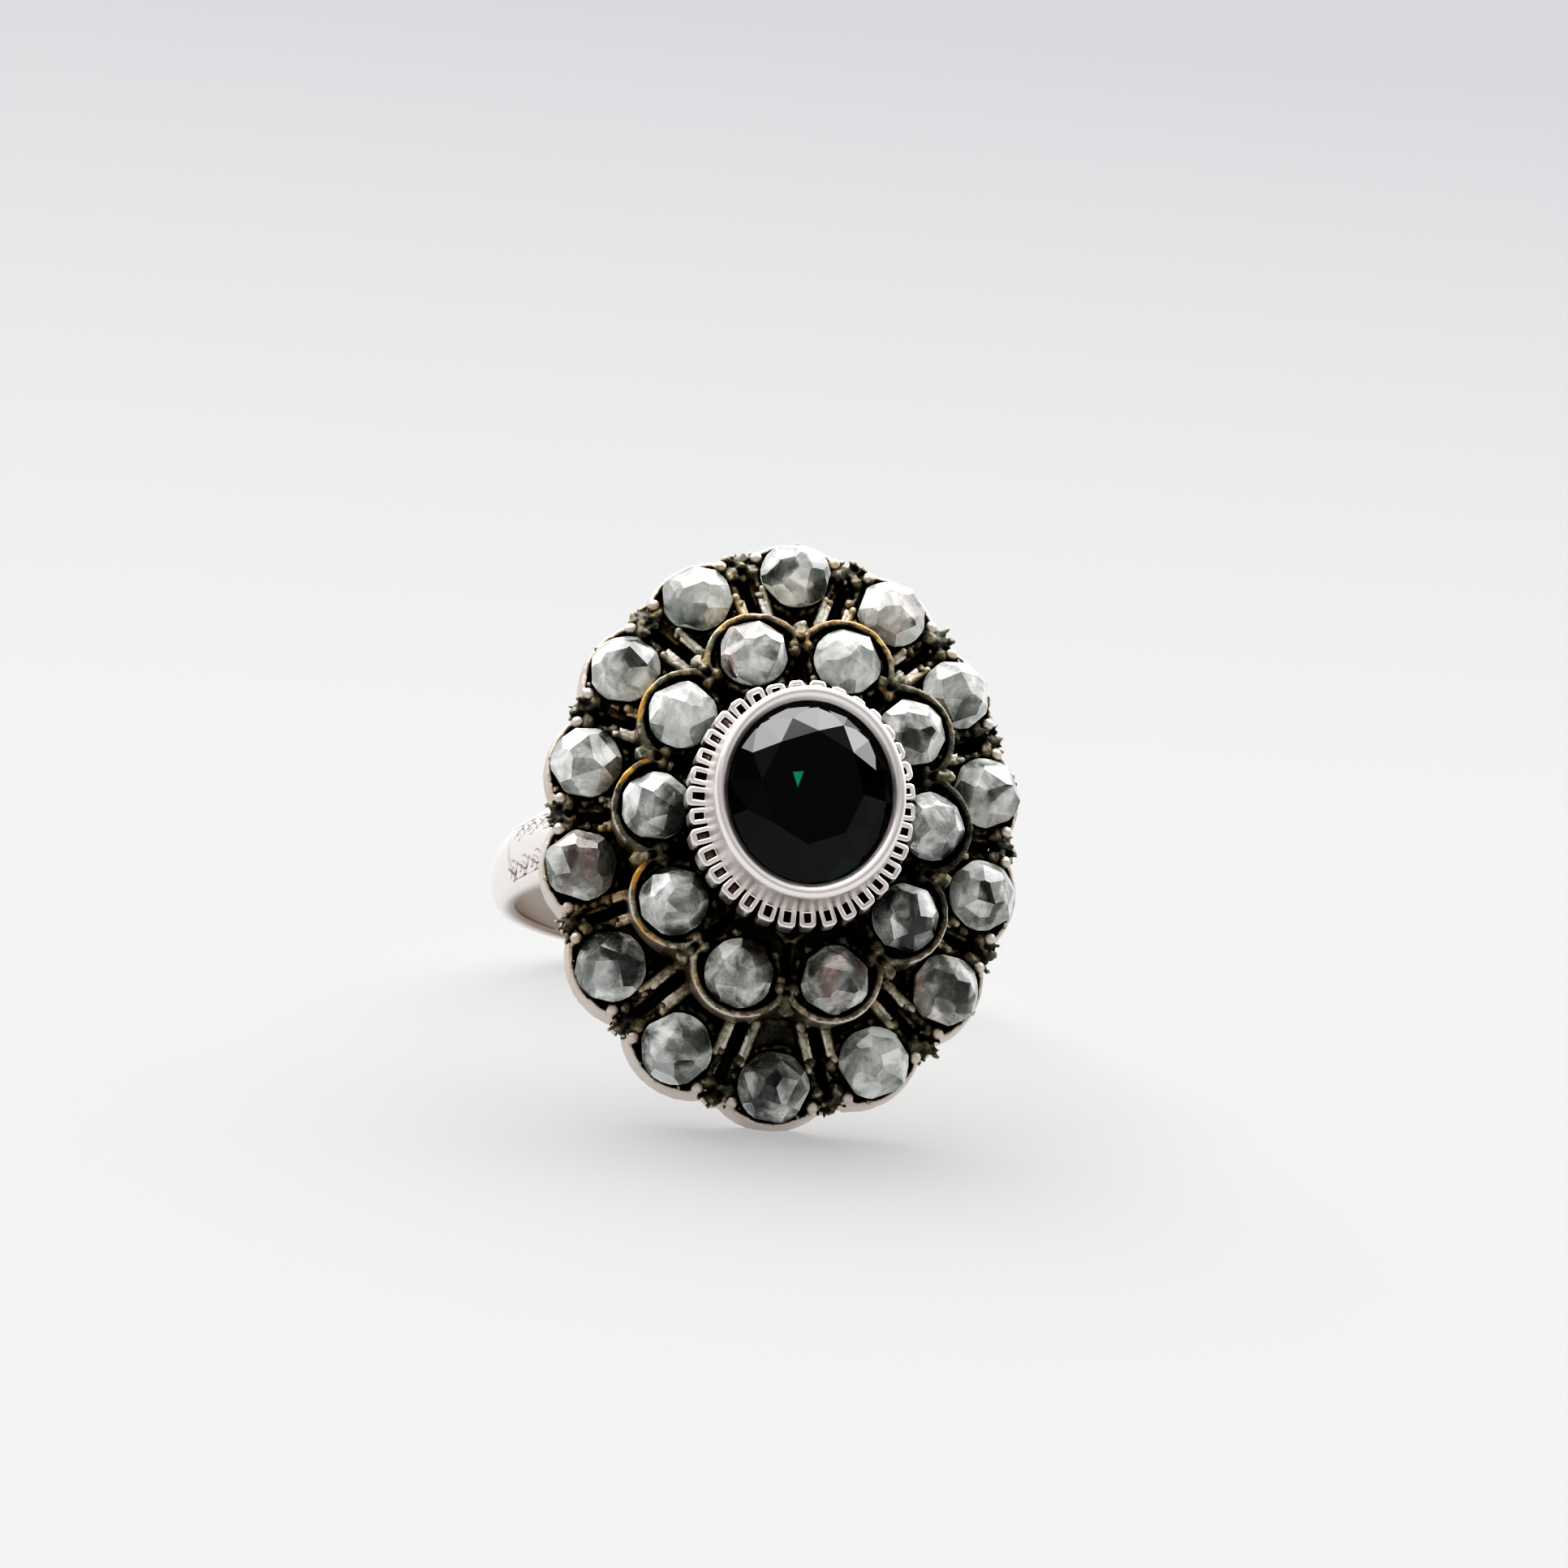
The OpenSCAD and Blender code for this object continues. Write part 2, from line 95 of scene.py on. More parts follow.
to_camera = (
    Matrix.Translation((*FACE_SHIFT, -CAMERA_AWAY))
    @ Matrix.Rotation(ROLL, 4, "Z")
    @ Matrix.Rotation(-PITCH, 4, "X")
    @ Matrix.Rotation(YAW, 4, "Y")
)
camera_data = bpy.data.cameras.new("camera")
camera_data.sensor_width = SENSOR
camera_data.lens = PX_PER_MM * CAMERA_AWAY / PHOTO_WIDTH * SENSOR
camera_data.clip_start = CLIP_START
camera = bpy.data.objects.new("camera", camera_data)
bpy.context.scene.collection.objects.link(camera)
camera_place = HEAD @ to_camera.inverted()
camera.location = camera_place.translation
camera.rotation_euler = camera_place.to_quaternion().to_euler()
bpy.context.scene.camera = camera
print("camera height in mm:", round(camera.location.z / MM, 1))

# %% [markdown]
# ## A short way to write nodes
#
# Nodes could be added and linked one line at a time, but a mask of five Math nodes then hides what it
# does. A `Wire` is the output socket of a node, and Python's own + - * / on wires add the Math nodes, so
# a mask reads as a sum. Every other node comes from `Graph.add`, for materials and Geometry Nodes alike.

# %% Node helpers
class Wire:
    """An output socket that can be added, subtracted, multiplied and divided."""

    def __init__(self, graph, socket):
        self.graph = graph
        self.socket = socket

    def math(self, operation, first, second):
        settings = {"operation": operation}
        return self.graph.add("ShaderNodeMath", settings, {0: first, 1: second})

    def __add__(self, other):
        return self.math("ADD", self, other)

    def __sub__(self, other):
        return self.math("SUBTRACT", self, other)

    def __rsub__(self, other):
        return self.math("SUBTRACT", other, self)

    def __mul__(self, other):
        return self.math("MULTIPLY", self, other)

    def __truediv__(self, other):
        return self.math("DIVIDE", self, other)

    def __rtruediv__(self, other):
        return self.math("DIVIDE", other, self)

    __radd__ = __add__
    __rmul__ = __mul__

    def clamped(self):
        settings = {"operation": "ADD", "use_clamp": True}
        return self.graph.add("ShaderNodeMath", settings, {0: self, 1: 0.0})


class Graph:
    """A node tree with one method that adds any node."""

    def __init__(self, tree):
        self.tree = tree

    def add(self, kind, settings=None, inputs=None, out=0):
        made = self.tree.nodes.new(kind)
        for name, value in (settings or {}).items():
            if name == "stops":
                self.set_stops(made.color_ramp, value)
            else:
                setattr(made, name, value)
        for key, value in (inputs or {}).items():
            if isinstance(value, Wire):
                self.tree.links.new(value.socket, made.inputs[key])
            else:
                made.inputs[key].default_value = value
        return Wire(self, made.outputs[out]) if made.outputs else None

    def split(self, vector, axes="XYZ"):
        """The coordinates of a vector, one wire for each letter."""
        return [self.add("ShaderNodeSeparateXYZ", {}, {0: vector}, out=axis) for axis in axes]

    @staticmethod
    def set_stops(ramp, stops):
        while len(ramp.elements) < len(stops):
            ramp.elements.new(0.5)
        for element, (at, colour) in zip(ramp.elements, stops):
            element.position = at
            element.color = (*colour, 1)


print("node helpers:", Wire.__name__, "and", Graph.__name__)

# %% [markdown]
# ## A short way to write finishes
#
# A finish is what a maker calls the skin of a piece: blackened, polished, cut. One could be built in the
# shader editor and copied. A class writes it in a few lines instead: it opens a material, sets the
# sockets of its shader by name, and adds noise, ramps and bumps with their sizes in millimetres.

# %% Finish helpers
class Finish(Graph):
    """A material: a Principled shader whose sockets are set by name."""

    def __init__(self, name):
        self.material = bpy.data.materials.new(name)
        self.material.use_nodes = True
        super().__init__(self.material.node_tree)
        self.shader = self.tree.nodes["Principled BSDF"]

    def set(self, **values):
        for name, value in values.items():
            socket = self.shader.inputs[name.replace("_", " ")]
            if isinstance(value, Wire):
                self.tree.links.new(value.socket, socket)
            else:
                socket.default_value = value

    def place(self):
        return self.add("ShaderNodeTexCoord", out="Object")

    def head_place(self):
        """The place in the head's own frame, in millimetres."""
        turn = head_turn.to_euler()
        values = {"Vector": self.place(), "Location": head_origin, "Rotation": turn, "Scale": (MM, MM, MM)}
        return self.add("ShaderNodeMapping", {"vector_type": "TEXTURE"}, values)

    def attribute(self, name):
        return self.add("ShaderNodeAttribute", {"attribute_name": name}, out="Fac")

    def noise(self, feature_mm, detail, roughness=0.5, distortion=0.0):
        values = {
            "Vector": self.place(),
            "Scale": 1 / (feature_mm * MM),
            "Detail": detail,
            "Roughness": roughness,
            "Distortion": distortion,
        }
        return self.add("ShaderNodeTexNoise", {}, values)

    def ramp(self, value, stops):
        return self.add("ShaderNodeValToRGB", {"stops": stops}, {0: value})

    def mix(self, share, first, second, blend="MIX"):
        settings = {"data_type": "RGBA", "blend_type": blend}
        return self.add("ShaderNodeMix", settings, {0: share, 6: first, 7: second}, out=2)

    def bump(self, height, depth_mm, strength):
        values = {"Height": height, "Distance": depth_mm * MM, "Strength": strength}
        return self.add("ShaderNodeBump", {}, values)

    def veil(self, share, colour, roughness):
        """Lays a second, cloudy surface over the first one."""
        values = {"Base Color": colour, "Roughness": roughness}
        cloudy = self.add("ShaderNodeBsdfPrincipled", {}, values)
        first = Wire(self, self.shader.outputs[0])
        both = self.add("ShaderNodeMixShader", {}, {0: share, 1: first, 2: cloudy})
        self.tree.links.new(both.socket, self.tree.nodes["Material Output"].inputs["Surface"])


def step(value, low, high):
    """0 below low, 1 above high, and a straight slope between them."""
    return ((value - low) / (high - low)).clamped()


print("finish helpers:", Finish.__name__, "and", step.__name__)

# %% [markdown]
# ## Where the stones sit
#
# Both tiers follow an oval, with seats at equal steps along it, clockwise from the top. Each seat leans
# outwards a little. The inner tier has no stone at its top, so it starts half a step on. The seats could
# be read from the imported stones, but claws and grains need the places between them too.

# %% Seats
OUTER = {"a": 7.7, "b": 9.8, "count": 14, "start": 0.0, "lift": 0.0, "tilt": 15}
INNER = {"a": 5.15, "b": 6.45, "count": 10, "start": 0.5, "lift": 2.2, "tilt": 12}


def oval_angles(a, b, count, start):
    """Angles of points at equal steps along an oval, clockwise from its top."""
    t = np.radians(np.arange(361))
    run = np.hypot(np.diff(a * np.sin(t)), np.diff(b * np.cos(t)))
    run = np.concatenate(([0], np.cumsum(run)))
    shares = (np.arange(count) + start) / count
    return np.interp(shares * run[-1], run, t)


def tier_seats(a, b, count, start, lift, tilt):
    """One matrix a stone: x along the tier, y away from the middle, z out of the stone."""
    seats = []
    for t in oval_angles(a, b, count, start):
        outward = math.atan2(b * math.sin(t), a * math.cos(t))
        lean = Matrix.Rotation(-outward, 4, "Z") @ Matrix.Rotation(-math.radians(tilt), 4, "X")
        seats.append(Matrix.Translation((a * math.sin(t), b * math.cos(t), lift)) @ lean)
    return seats


outer_seats = tier_seats(**OUTER)
inner_seats = tier_seats(**INNER)
print("seats:", len(outer_seats), "outer and", len(inner_seats), "inner")

# %% [markdown]
# ## Blackened silver
#
# Old silver is black in every corner and worn to a warm grey on every edge. That could be painted by
# hand, but a rule gives each small lump its own black foot. The attributes `open` and `edge`, worked out
# below by casting rays, say how much sky a point sees and how sharply the skin turns there. Closed places
# are black and dull, open ones are grey-beige and polished, with a gold bloom on some of them.
# On some finishes the lower part and the upper left of the head are painted lighter, and the outward walls
# are lighter partly from wear and partly from painted light on walls that lie in shade.

# %% Metal finishes
BLACK = (0.003, 0.003, 0.0025)
SHADE = (0.05, 0.049, 0.038)
WORN = (0.18, 0.17, 0.13)
LIGHT = (0.66, 0.6, 0.55)
OLIVE = (0.46, 0.44, 0.37)
GOLD = (0.5, 0.28, 0.08)
TARNISH = (0.025, 0.012, 0.009)
DULL = (0.4, 0.34, 0.31)
CLEAN = (0.93, 0.88, 0.86)
FINGER_SIDE = (0.36, 0.31, 0.28)
# Where the two sides of the head fade in and out, in millimetres on the ring, for painted light and gold
UPPER_LEFT_FROM = 5
UPPER_LEFT_TO = 15
LOW_DOWN_FROM = 10
LOW_DOWN_TO = 6


def upper_left(f):
    """1 towards the head's upper left, 0 towards its lower right."""
    x, z = f.split(f.place(), "XZ")
    return step(z - x, UPPER_LEFT_FROM * MM, UPPER_LEFT_TO * MM)


def low_down(f):
    """1 on the lower part of the head, 0 on the upper one."""
    (z,) = f.split(f.place(), "Z")
    return 1 - step(z, LOW_DOWN_TO * MM, LOW_DOWN_FROM * MM)


def blackened_silver(
    name, open_share, edge_share, base,
    polish=0.5, gold_share=0.25, light=LIGHT, rough=0.04, painted_side_light_gain=0.0,
):
    """Silver whose lightness, 0 in black corners and 1 on worn edges, picks its colour and its gloss; some
    finishes add painted light to it.
    """
    f = Finish(name)
    grime = f.noise(0.4, detail=5, roughness=0.7)
    lightness = f.attribute("open") * open_share + f.attribute("edge") * edge_share + base
    # Outward walls lighter, partly from wear and partly painted light on walls in shade, most low on the
    # head
    polish_and_light_share = f.attribute("polish") * polish * (0.35 + 0.65 * low_down(f))
    # Painted light: the lower part of the head, and a little less its upper left, made lighter
    painted_side_light = painted_side_light_gain * low_down(f) + 0.6 * painted_side_light_gain * upper_left(f)
    lightness = lightness + polish_and_light_share + painted_side_light + (grime - 0.5) * 1.2
    colour = f.ramp(lightness, [(0.12, BLACK), (0.35, SHADE), (0.7, WORN), (1.0, light)])
    bloom = step(f.noise(1.6, detail=2), 0.47, 0.57) * step(lightness, 0.5, 0.75)
    side = upper_left(f)
    gold = (bloom * (0.08 + gold_share * side * side)).clamped()
    f.set(
        Base_Color=f.mix(gold, colour, (*GOLD, 1)),
        Metallic=0.2 + 0.55 * step(lightness, 0.5, 0.9),
        Roughness=0.5 - 0.2 * step(lightness, 0.5, 1.0),
        Normal=f.bump(f.noise(0.14, detail=5, roughness=0.7), depth_mm=rough, strength=0.9),
    )
    return f.material


def bright_silver(name, base):
    """Clean silver that is dull in its corners and dark in its engraved grooves."""
    f = Finish(name)
    grime = f.noise(0.8, detail=5, roughness=0.65)
    lightness = f.attribute("open") * 0.6 + f.attribute("edge") * 0.7 + base + (grime - 0.5) * 0.22
    lightness = lightness - 0.75 * f.attribute("groove")
    inside = f.attribute("inside")
    stops = [(0.35, TARNISH), (0.6, DULL), (0.85, CLEAN)]
    f.set(
        Base_Color=f.mix(inside, f.ramp(lightness, stops), (*FINGER_SIDE, 1)),
        Metallic=1.0,
        Roughness=0.3 + 0.14 * grime,
        Normal=f.bump(f.noise(0.2, detail=5, roughness=0.6), depth_mm=0.006, strength=0.5),
    )
    return f.material


plate_finish = blackened_silver("blackened_plate", open_share=0.9, edge_share=0.5, base=-0.08)
# The inner tier gets the most painted light: on its outward walls, its lower part and its upper left
inner_finish = blackened_silver(
    "blackened_inner_tier", open_share=0.6, edge_share=0.1, base=-0.25,
    polish=1.0, gold_share=0.9, painted_side_light_gain=0.35,
)
bar_finish = blackened_silver("worn_bars", open_share=0.6, edge_share=0.9, base=-0.15, light=OLIVE)
crust_finish = blackened_silver(
    "crusted_silver", open_share=0.6, edge_share=1.7, base=-0.95,
    gold_share=0.1, light=OLIVE, rough=0.07,
)
bezel_finish = bright_silver("bezel_silver", base=0.32)
shank_finish = bright_silver("bright_silver", base=0.0)
loop_finish = bright_silver("loop_silver", base=0.12)
gallery_floor_finish = bright_silver("gallery_floor_silver", base=-0.5)
metals = (plate_finish, inner_finish, bar_finish, crust_finish, bezel_finish, shank_finish)
print("metal finishes:", ", ".join(made.name for made in metals))

# %% [markdown]
# ## The stones' finish
#
# A rose-cut stone has a flat back and a low dome of facets. Light goes in, meets the back and comes out
# through another facet, so one facet is white and its neighbour dark. Clear glass over foil alone comes
# out too even and too dark. So that light and shade is painted: each facet also has a tone of its own,
# the `facet` attribute, which lies as a cloudy veil with smoke, streaks and painted dark patches in it
# over the clear stone.

# %% Stone finishes
COOL_TINT = (0.98, 1, 0.97, 1)
BROWN_TINT = (0.95, 0.76, 0.71, 1)
CLEAR = (0.93, 0.94, 0.93, 1)


def rose_crystal():
    """Clear stone under a milky veil with painted light and shade that differs from facet to facet."""
    f = Finish("rose_crystal")
    clouds = f.noise(1.0, detail=5, roughness=0.62, distortion=0.6)
    smoke = f.noise(1.5, detail=4, roughness=0.6, distortion=0.5)
    streaks = f.noise(0.3, detail=3, roughness=0.6, distortion=2.5)
    facet = f.attribute("facet")
    girdle = f.attribute("edge")
    # Painted shade: dark patches, kept off the girdle's steep faces
    dark = step(f.noise(1.9, detail=3, distortion=0.4), 0.5, 0.4) * (1 - girdle)
    brown = step(smoke, 0.5, 0.62) * f.attribute("tint")
    tint = f.mix(brown, COOL_TINT, BROWN_TINT)
    # Painted light and shade: each facet's own tone, lighter on the girdle, with clouds, streaks and dark
    # patches
    tone = facet * 0.75 + (clouds - 0.5) * 1.15 + 0.37 + girdle * 0.25
    tone = tone + (streaks - 0.5) * 0.4 - dark * 0.5
    stops = [(0.05, (0.02,) * 3), (0.3, (0.21,) * 3), (0.6, (0.48,) * 3), (1.0, (0.95,) * 3)]
    painted_facet_light = f.ramp(tone, stops)
    f.set(
        Base_Color=f.mix(1.0, CLEAR, tint, "MULTIPLY"),
        Roughness=0.02,
        IOR=1.65,
        Transmission_Weight=1.0,
        Normal=f.bump(f.noise(0.5, detail=2), depth_mm=0.01, strength=0.2),
    )
    milk = 0.4 + 0.25 * f.attribute("milk") + 0.3 * step(clouds, 0.45, 0.6) + 0.2 * girdle
    f.veil(milk.clamped(), f.mix(1.0, painted_facet_light, tint, "MULTIPLY"), roughness=0.16)
    return f.material


def wrinkled_foil():
    """Bright and dark patches on a wrinkled metal leaf."""
    f = Finish("wrinkled_foil")
    patches = f.noise(0.9, detail=4, roughness=0.6, distortion=1.0)
    streaks = f.add(
        "ShaderNodeTexWave",
        {"wave_type": "BANDS"},
        {"Vector": f.place(), "Scale": 1 / (2.2 * MM), "Distortion": 9.0, "Detail": 3.0},
    )
    stops = [(0.32, (0.03, 0.03, 0.03)), (0.46, (0.4, 0.41, 0.4)), (0.62, (0.92, 0.92, 0.92))]
    wrinkles = f.noise(0.35, detail=5, roughness=0.7) + streaks * 0.4
    f.set(
        Base_Color=f.ramp(patches, stops),
        Metallic=0.8,
        Roughness=0.35,
        Normal=f.bump(wrinkles, depth_mm=0.25, strength=1.0),
    )
    return f.material


# Painted reflections on the centre stone: a small teal triangle, and faint cells to its lower right, that
# glow
PAINTED_FLASH = [(-0.814, 0.555), (-0.577, -0.125), (-0.339, 0.622)]
PAINTED_FLASH_Z = 6.9
PAINTED_FLASH_EDGE = 0.05
PAINTED_FLASH_TEAL = (0.012, 0.2, 0.13)
PAINTED_GLEAM_SHARE = 0.05


def inside_triangle(x, y, corners):
    """1 inside a triangle whose corners run anticlockwise, with soft edges."""
    mask = 1.0
    for (x1, y1), (x2, y2) in zip(corners, corners[1:] + corners[:1]):
        long = math.hypot(x2 - x1, y2 - y1)
        past = (x2 - x1) / long * (y - y1) - (y2 - y1) / long * (x - x1)
        mask = step(past, 0.0, PAINTED_FLASH_EDGE) * mask
    return mask


def dark_crystal():
    """Nearly black stone with a small teal reflection and a faint glint to its lower right, both painted
    on and glowing.
    """
    f = Finish("dark_crystal")
    head = f.head_place()
    x, y, z = f.split(head)
    painted_flash = inside_triangle(x, y, PAINTED_FLASH) * step(z, PAINTED_FLASH_Z, PAINTED_FLASH_Z + PAINTED_FLASH_EDGE)
    cells = f.add("ShaderNodeTexVoronoi", {}, {"Vector": head, "Scale": 0.7}, out="Color")
    painted_gleam = f.add("ShaderNodeSeparateColor", {}, {0: cells})
    painted_gleam = step(painted_gleam, 0.5, 1.0) * step(x - y, 1.6, 3.4) * PAINTED_GLEAM_SHARE
    shine = f.mix((painted_flash + painted_gleam).clamped(), (0, 0, 0, 1), (*PAINTED_FLASH_TEAL, 1))
    f.set(Base_Color=(0.0006, 0.0012, 0.001, 1), Roughness=0.02, IOR=1.62)
    # The painted reflections glow as emission
    f.set(Emission_Color=shine, Emission_Strength=1.0)
    return f.material


clear_stone = rose_crystal()
foil_finish = wrinkled_foil()
dark_stone = dark_crystal()
print("stone finishes:", ", ".join(made.name for made in (clear_stone, foil_finish, dark_stone)))

# %% [markdown]
# ## Turning raw shapes into pieces
#
# A maker files and polishes each part before it is soldered in. Modifiers could stay live, but here
# each is applied, so every piece is a plain mesh.

# %% Piece helpers
def new_object(name, mesh):
    made = bpy.data.objects.new(name, mesh)
    bpy.context.scene.collection.objects.link(made)
    return made


def settle(piece):
    """Replaces a piece's mesh by what its modifiers make of it."""
    bpy.context.view_layer.update()
    graph = bpy.context.evaluated_depsgraph_get()
    made = bpy.data.meshes.new_from_object(piece.evaluated_get(graph))
    piece.modifiers.clear()
    old, piece.data = piece.data, made
    bpy.data.meshes.remove(old)
    return piece


def finish_piece(piece, material):
    """Puts a piece in its place on the ring, with its finish and body."""
    piece.data.transform(HEAD)
    piece.data.materials.clear()
    piece.data.materials.append(material)
    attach(piece, "root")
    triangles = sum(len(p.vertices) - 2 for p in piece.data.polygons)
    print(f"{piece.name}: {triangles} triangles")


def block(name, low, high):
    """A plain block, for cutting."""
    mesh = bpy.data.meshes.new(name)
    bm = bmesh.new()
    bmesh.ops.create_cube(bm, size=1)
    size = Vector(high) - Vector(low)
    middle = (Vector(high) + Vector(low)) / 2
    place = Matrix.Translation(middle) @ Matrix.Diagonal((*size, 1))
    bmesh.ops.transform(bm, matrix=place, verts=bm.verts)
    bm.to_mesh(mesh)
    bm.free()
    return new_object(name, mesh)


def boolean(piece, tool, operation):
    """Cuts a piece with a tool, and throws the tool away."""
    cut = piece.modifiers.new(operation, "BOOLEAN")
    cut.operation = operation
    cut.object = tool
    cut.solver = "MANIFOLD"
    settle(piece)
    bpy.data.objects.remove(tool)


MERGE_MM = 0.0005


def packed_copy(name, nodes):
    """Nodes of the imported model, in the head's frame and merged into one closed skin."""
    mesh = bpy.data.meshes.new(name)
    bm = bmesh.new()
    for node in nodes:
        bm.from_mesh(frame["nodes"][node].data)
    bmesh.ops.transform(bm, matrix=HEAD.inverted(), verts=bm.verts)
    bmesh.ops.remove_doubles(bm, verts=bm.verts, dist=MERGE_MM)
    bm.to_mesh(mesh)
    bm.free()
    for polygon in mesh.polygons:
        polygon.use_smooth = False
    return new_object(name, mesh)


ring_whole = packed_copy("ring_whole", frame["nodes"])
print("triangles of the packed ring:", len(ring_whole.data.polygons))

# %% [markdown]
# ## Trees of Geometry Nodes
#
# A tree of Geometry Nodes makes or changes a mesh by rule. It could be drawn in the editor, but a script
# can be read and repeated. Its sizes are named inputs, so one tree serves many pieces. A fan of evenly
# spread directions is worked out in Python and given to the tree as plain vectors.

# %% Tree helpers
RAYS = 26


def fan_directions(count):
    """Evenly spread unit vectors."""
    golden = math.pi * (3 - math.sqrt(5))
    found = []
    for i in range(count):
        z = 1 - 2 * (i + 0.5) / count
        r = math.sqrt(1 - z * z)
        found.append((r * math.cos(i * golden), r * math.sin(i * golden), z))
    return found


def new_node_group(name, inputs):
    """A Geometry Nodes tree with named inputs, and a wire for each of them."""
    tree = bpy.data.node_groups.new(name, "GeometryNodeTree")
    tree.interface.new_socket("Geometry", in_out="INPUT", socket_type="NodeSocketGeometry")
    for label, kind in inputs:
        tree.interface.new_socket(label, in_out="INPUT", socket_type="NodeSocket" + kind)
    tree.interface.new_socket("Geometry", in_out="OUTPUT", socket_type="NodeSocketGeometry")
    graph = Graph(tree)
    start = tree.nodes.new("NodeGroupInput")
    wires = {s.name: Wire(graph, s) for s in start.outputs if s.name}
    return tree, graph, wires


def end_node_group(graph, geometry):
    graph.add("NodeGroupOutput", {}, {0: geometry})


def add_nodes(piece, tree, **values):
    """Puts a tree on a piece and sets its inputs, found by name and set by identifier."""
    made = piece.modifiers.new(tree.name, "NODES")
    made.node_group = tree
    for socket in tree.interface.items_tree:
        if socket.in_out == "INPUT" and socket.name.replace(" ", "_") in values:
            made[socket.identifier] = values[socket.name.replace(" ", "_")]


FAN = fan_directions(RAYS)
print("directions in the fan:", len(FAN))

# %% [markdown]
# ## Age
#
# Old silver is rough from casting and solder, and dark where no cloth reaches. Noise moves the skin in
# and out. Then a fan of rays leaves every point towards the side it faces, and the share that hits
# nothing nearby is stored as `open`. A fan in all directions against the piece itself gives `edge`. The
# shader's own occlusion node could do this, but an attribute stays on the mesh itself.

# %% Age by Geometry Nodes
NOISE_DETAIL = 2.5
OPEN_LIFT = 0.1
EDGE_LIFT = 0.03
EDGE_REACH = 0.35


def rays(g, target, directions, position, normal, lift, reach):
    """The share of rays from just above each point that hit the target."""
    raised = g.add("ShaderNodeVectorMath", {"operation": "SCALE"}, {0: normal, "Scale": lift})
    source = g.add("ShaderNodeVectorMath", {"operation": "ADD"}, {0: position, 1: raised})
    hits = 0
    for direction in directions:
        values = {
            "Target Geometry": target,
            "Source Position": source,
            "Ray Direction": direction,
            "Ray Length": reach,
        }
        hits = g.add("GeometryNodeRaycast", {}, values, out="Is Hit") + hits
    return hits / len(directions)


def age_tree():
    sockets = [
        ("Crust", "Float"), ("Lump", "Float"), ("Reach", "Float"), ("Blur", "Int"), ("Around", "Object"),
    ]
    tree, g, wire = new_node_group("age", sockets)
    position = g.add("GeometryNodeInputPosition")
    normal = g.add("GeometryNodeInputNormal")
    noise = g.add(
        "ShaderNodeTexNoise", {},
        {"Vector": position, "Scale": 1 / wire["Lump"], "Detail": NOISE_DETAIL},
    )
    height = (noise - 0.5) * 2 * wire["Crust"]
    push = g.add("ShaderNodeVectorMath", {"operation": "SCALE"}, {0: normal, "Scale": height})
    rough = g.add("GeometryNodeSetPosition", {}, {"Geometry": wire["Geometry"], "Offset": push})

    around = g.add("GeometryNodeObjectInfo", {}, {"Object": wire["Around"]}, out="Geometry")
    facing = [g.add("ShaderNodeVectorMath", {"operation": "ADD"}, {0: normal, 1: d}) for d in FAN]
    seen_open = 1 - rays(g, around, facing, position, normal, OPEN_LIFT, wire["Reach"])
    seen_edge = 1 - rays(g, rough, FAN, position, normal, EDGE_LIFT, EDGE_REACH)
    stored = rough
    for name, value in [("open", seen_open), ("edge", seen_edge)]:
        blur = {"Value": value, "Iterations": wire["Blur"]}
        value = g.add("GeometryNodeBlurAttribute", {"data_type": "FLOAT"}, blur)
        stored = g.add(
            "GeometryNodeStoreNamedAttribute",
            {"data_type": "FLOAT", "domain": "POINT"},
            {"Geometry": stored, "Name": name, "Value": value},
        )
    end_node_group(g, stored)
    return tree


ageing = age_tree()
SKY_REACH = 1.6


def age(piece, crust, lump, blur=1):
    """Roughens a piece by crust mm in lumps of lump mm, and measures how open it is."""
    add_nodes(piece, ageing, Crust=crust, Lump=lump, Reach=SKY_REACH, Blur=blur, Around=ring_whole)
    settle(piece)


print("nodes that age a piece:", len(ageing.nodes))

# %% [markdown]
# ## The two tiers
#
# The tiers could be modelled afresh, but the imported model already has every pocket, slot, bar, grain
# and claw. So each tier is a slice of it. A voxel remesh melts its parts together, as solder and casting
# do, and the crust is laid over it. The outward walls stay lighter, partly worn bright and partly a
# painted light on walls that lie in shade: an attribute marks the skin that faces away from its tier.

# %% Tiers
VOXEL = 0.075
HEAD_REACH = (12, 14)
OUTER_SPAN = (-2.4, 0.6)
INNER_SPAN = (0.45, 3.2)
# Low and high corner of the room that the shank's shoulders take below the plate
SHOULDERS = ((-7.3, -1.6, -3), (7.3, 1.6, -1.14))
# How far a wall has to face outwards, and to lie past its seat's middle, to be worn and painted lighter
POLISH_AND_LIGHT_FROM = 0.45
POLISH_AND_LIGHT_RISE = 0.3
POLISH_AND_LIGHT_AWAY = 1.0


def melt(part, voxel, keep_share):
    """Melts a heap of overlapping shapes into one skin, and thins its mesh."""
    remesh = part.modifiers.new("melt", "REMESH")
    remesh.mode = "VOXEL"
    remesh.voxel_size = voxel
    remesh.use_smooth_shade = True
    soften = part.modifiers.new("soften", "SMOOTH")
    soften.factor = 0.5
    soften.iterations = 1
    thin = part.modifiers.new("thin", "DECIMATE")
    thin.ratio = keep_share
    return settle(part)


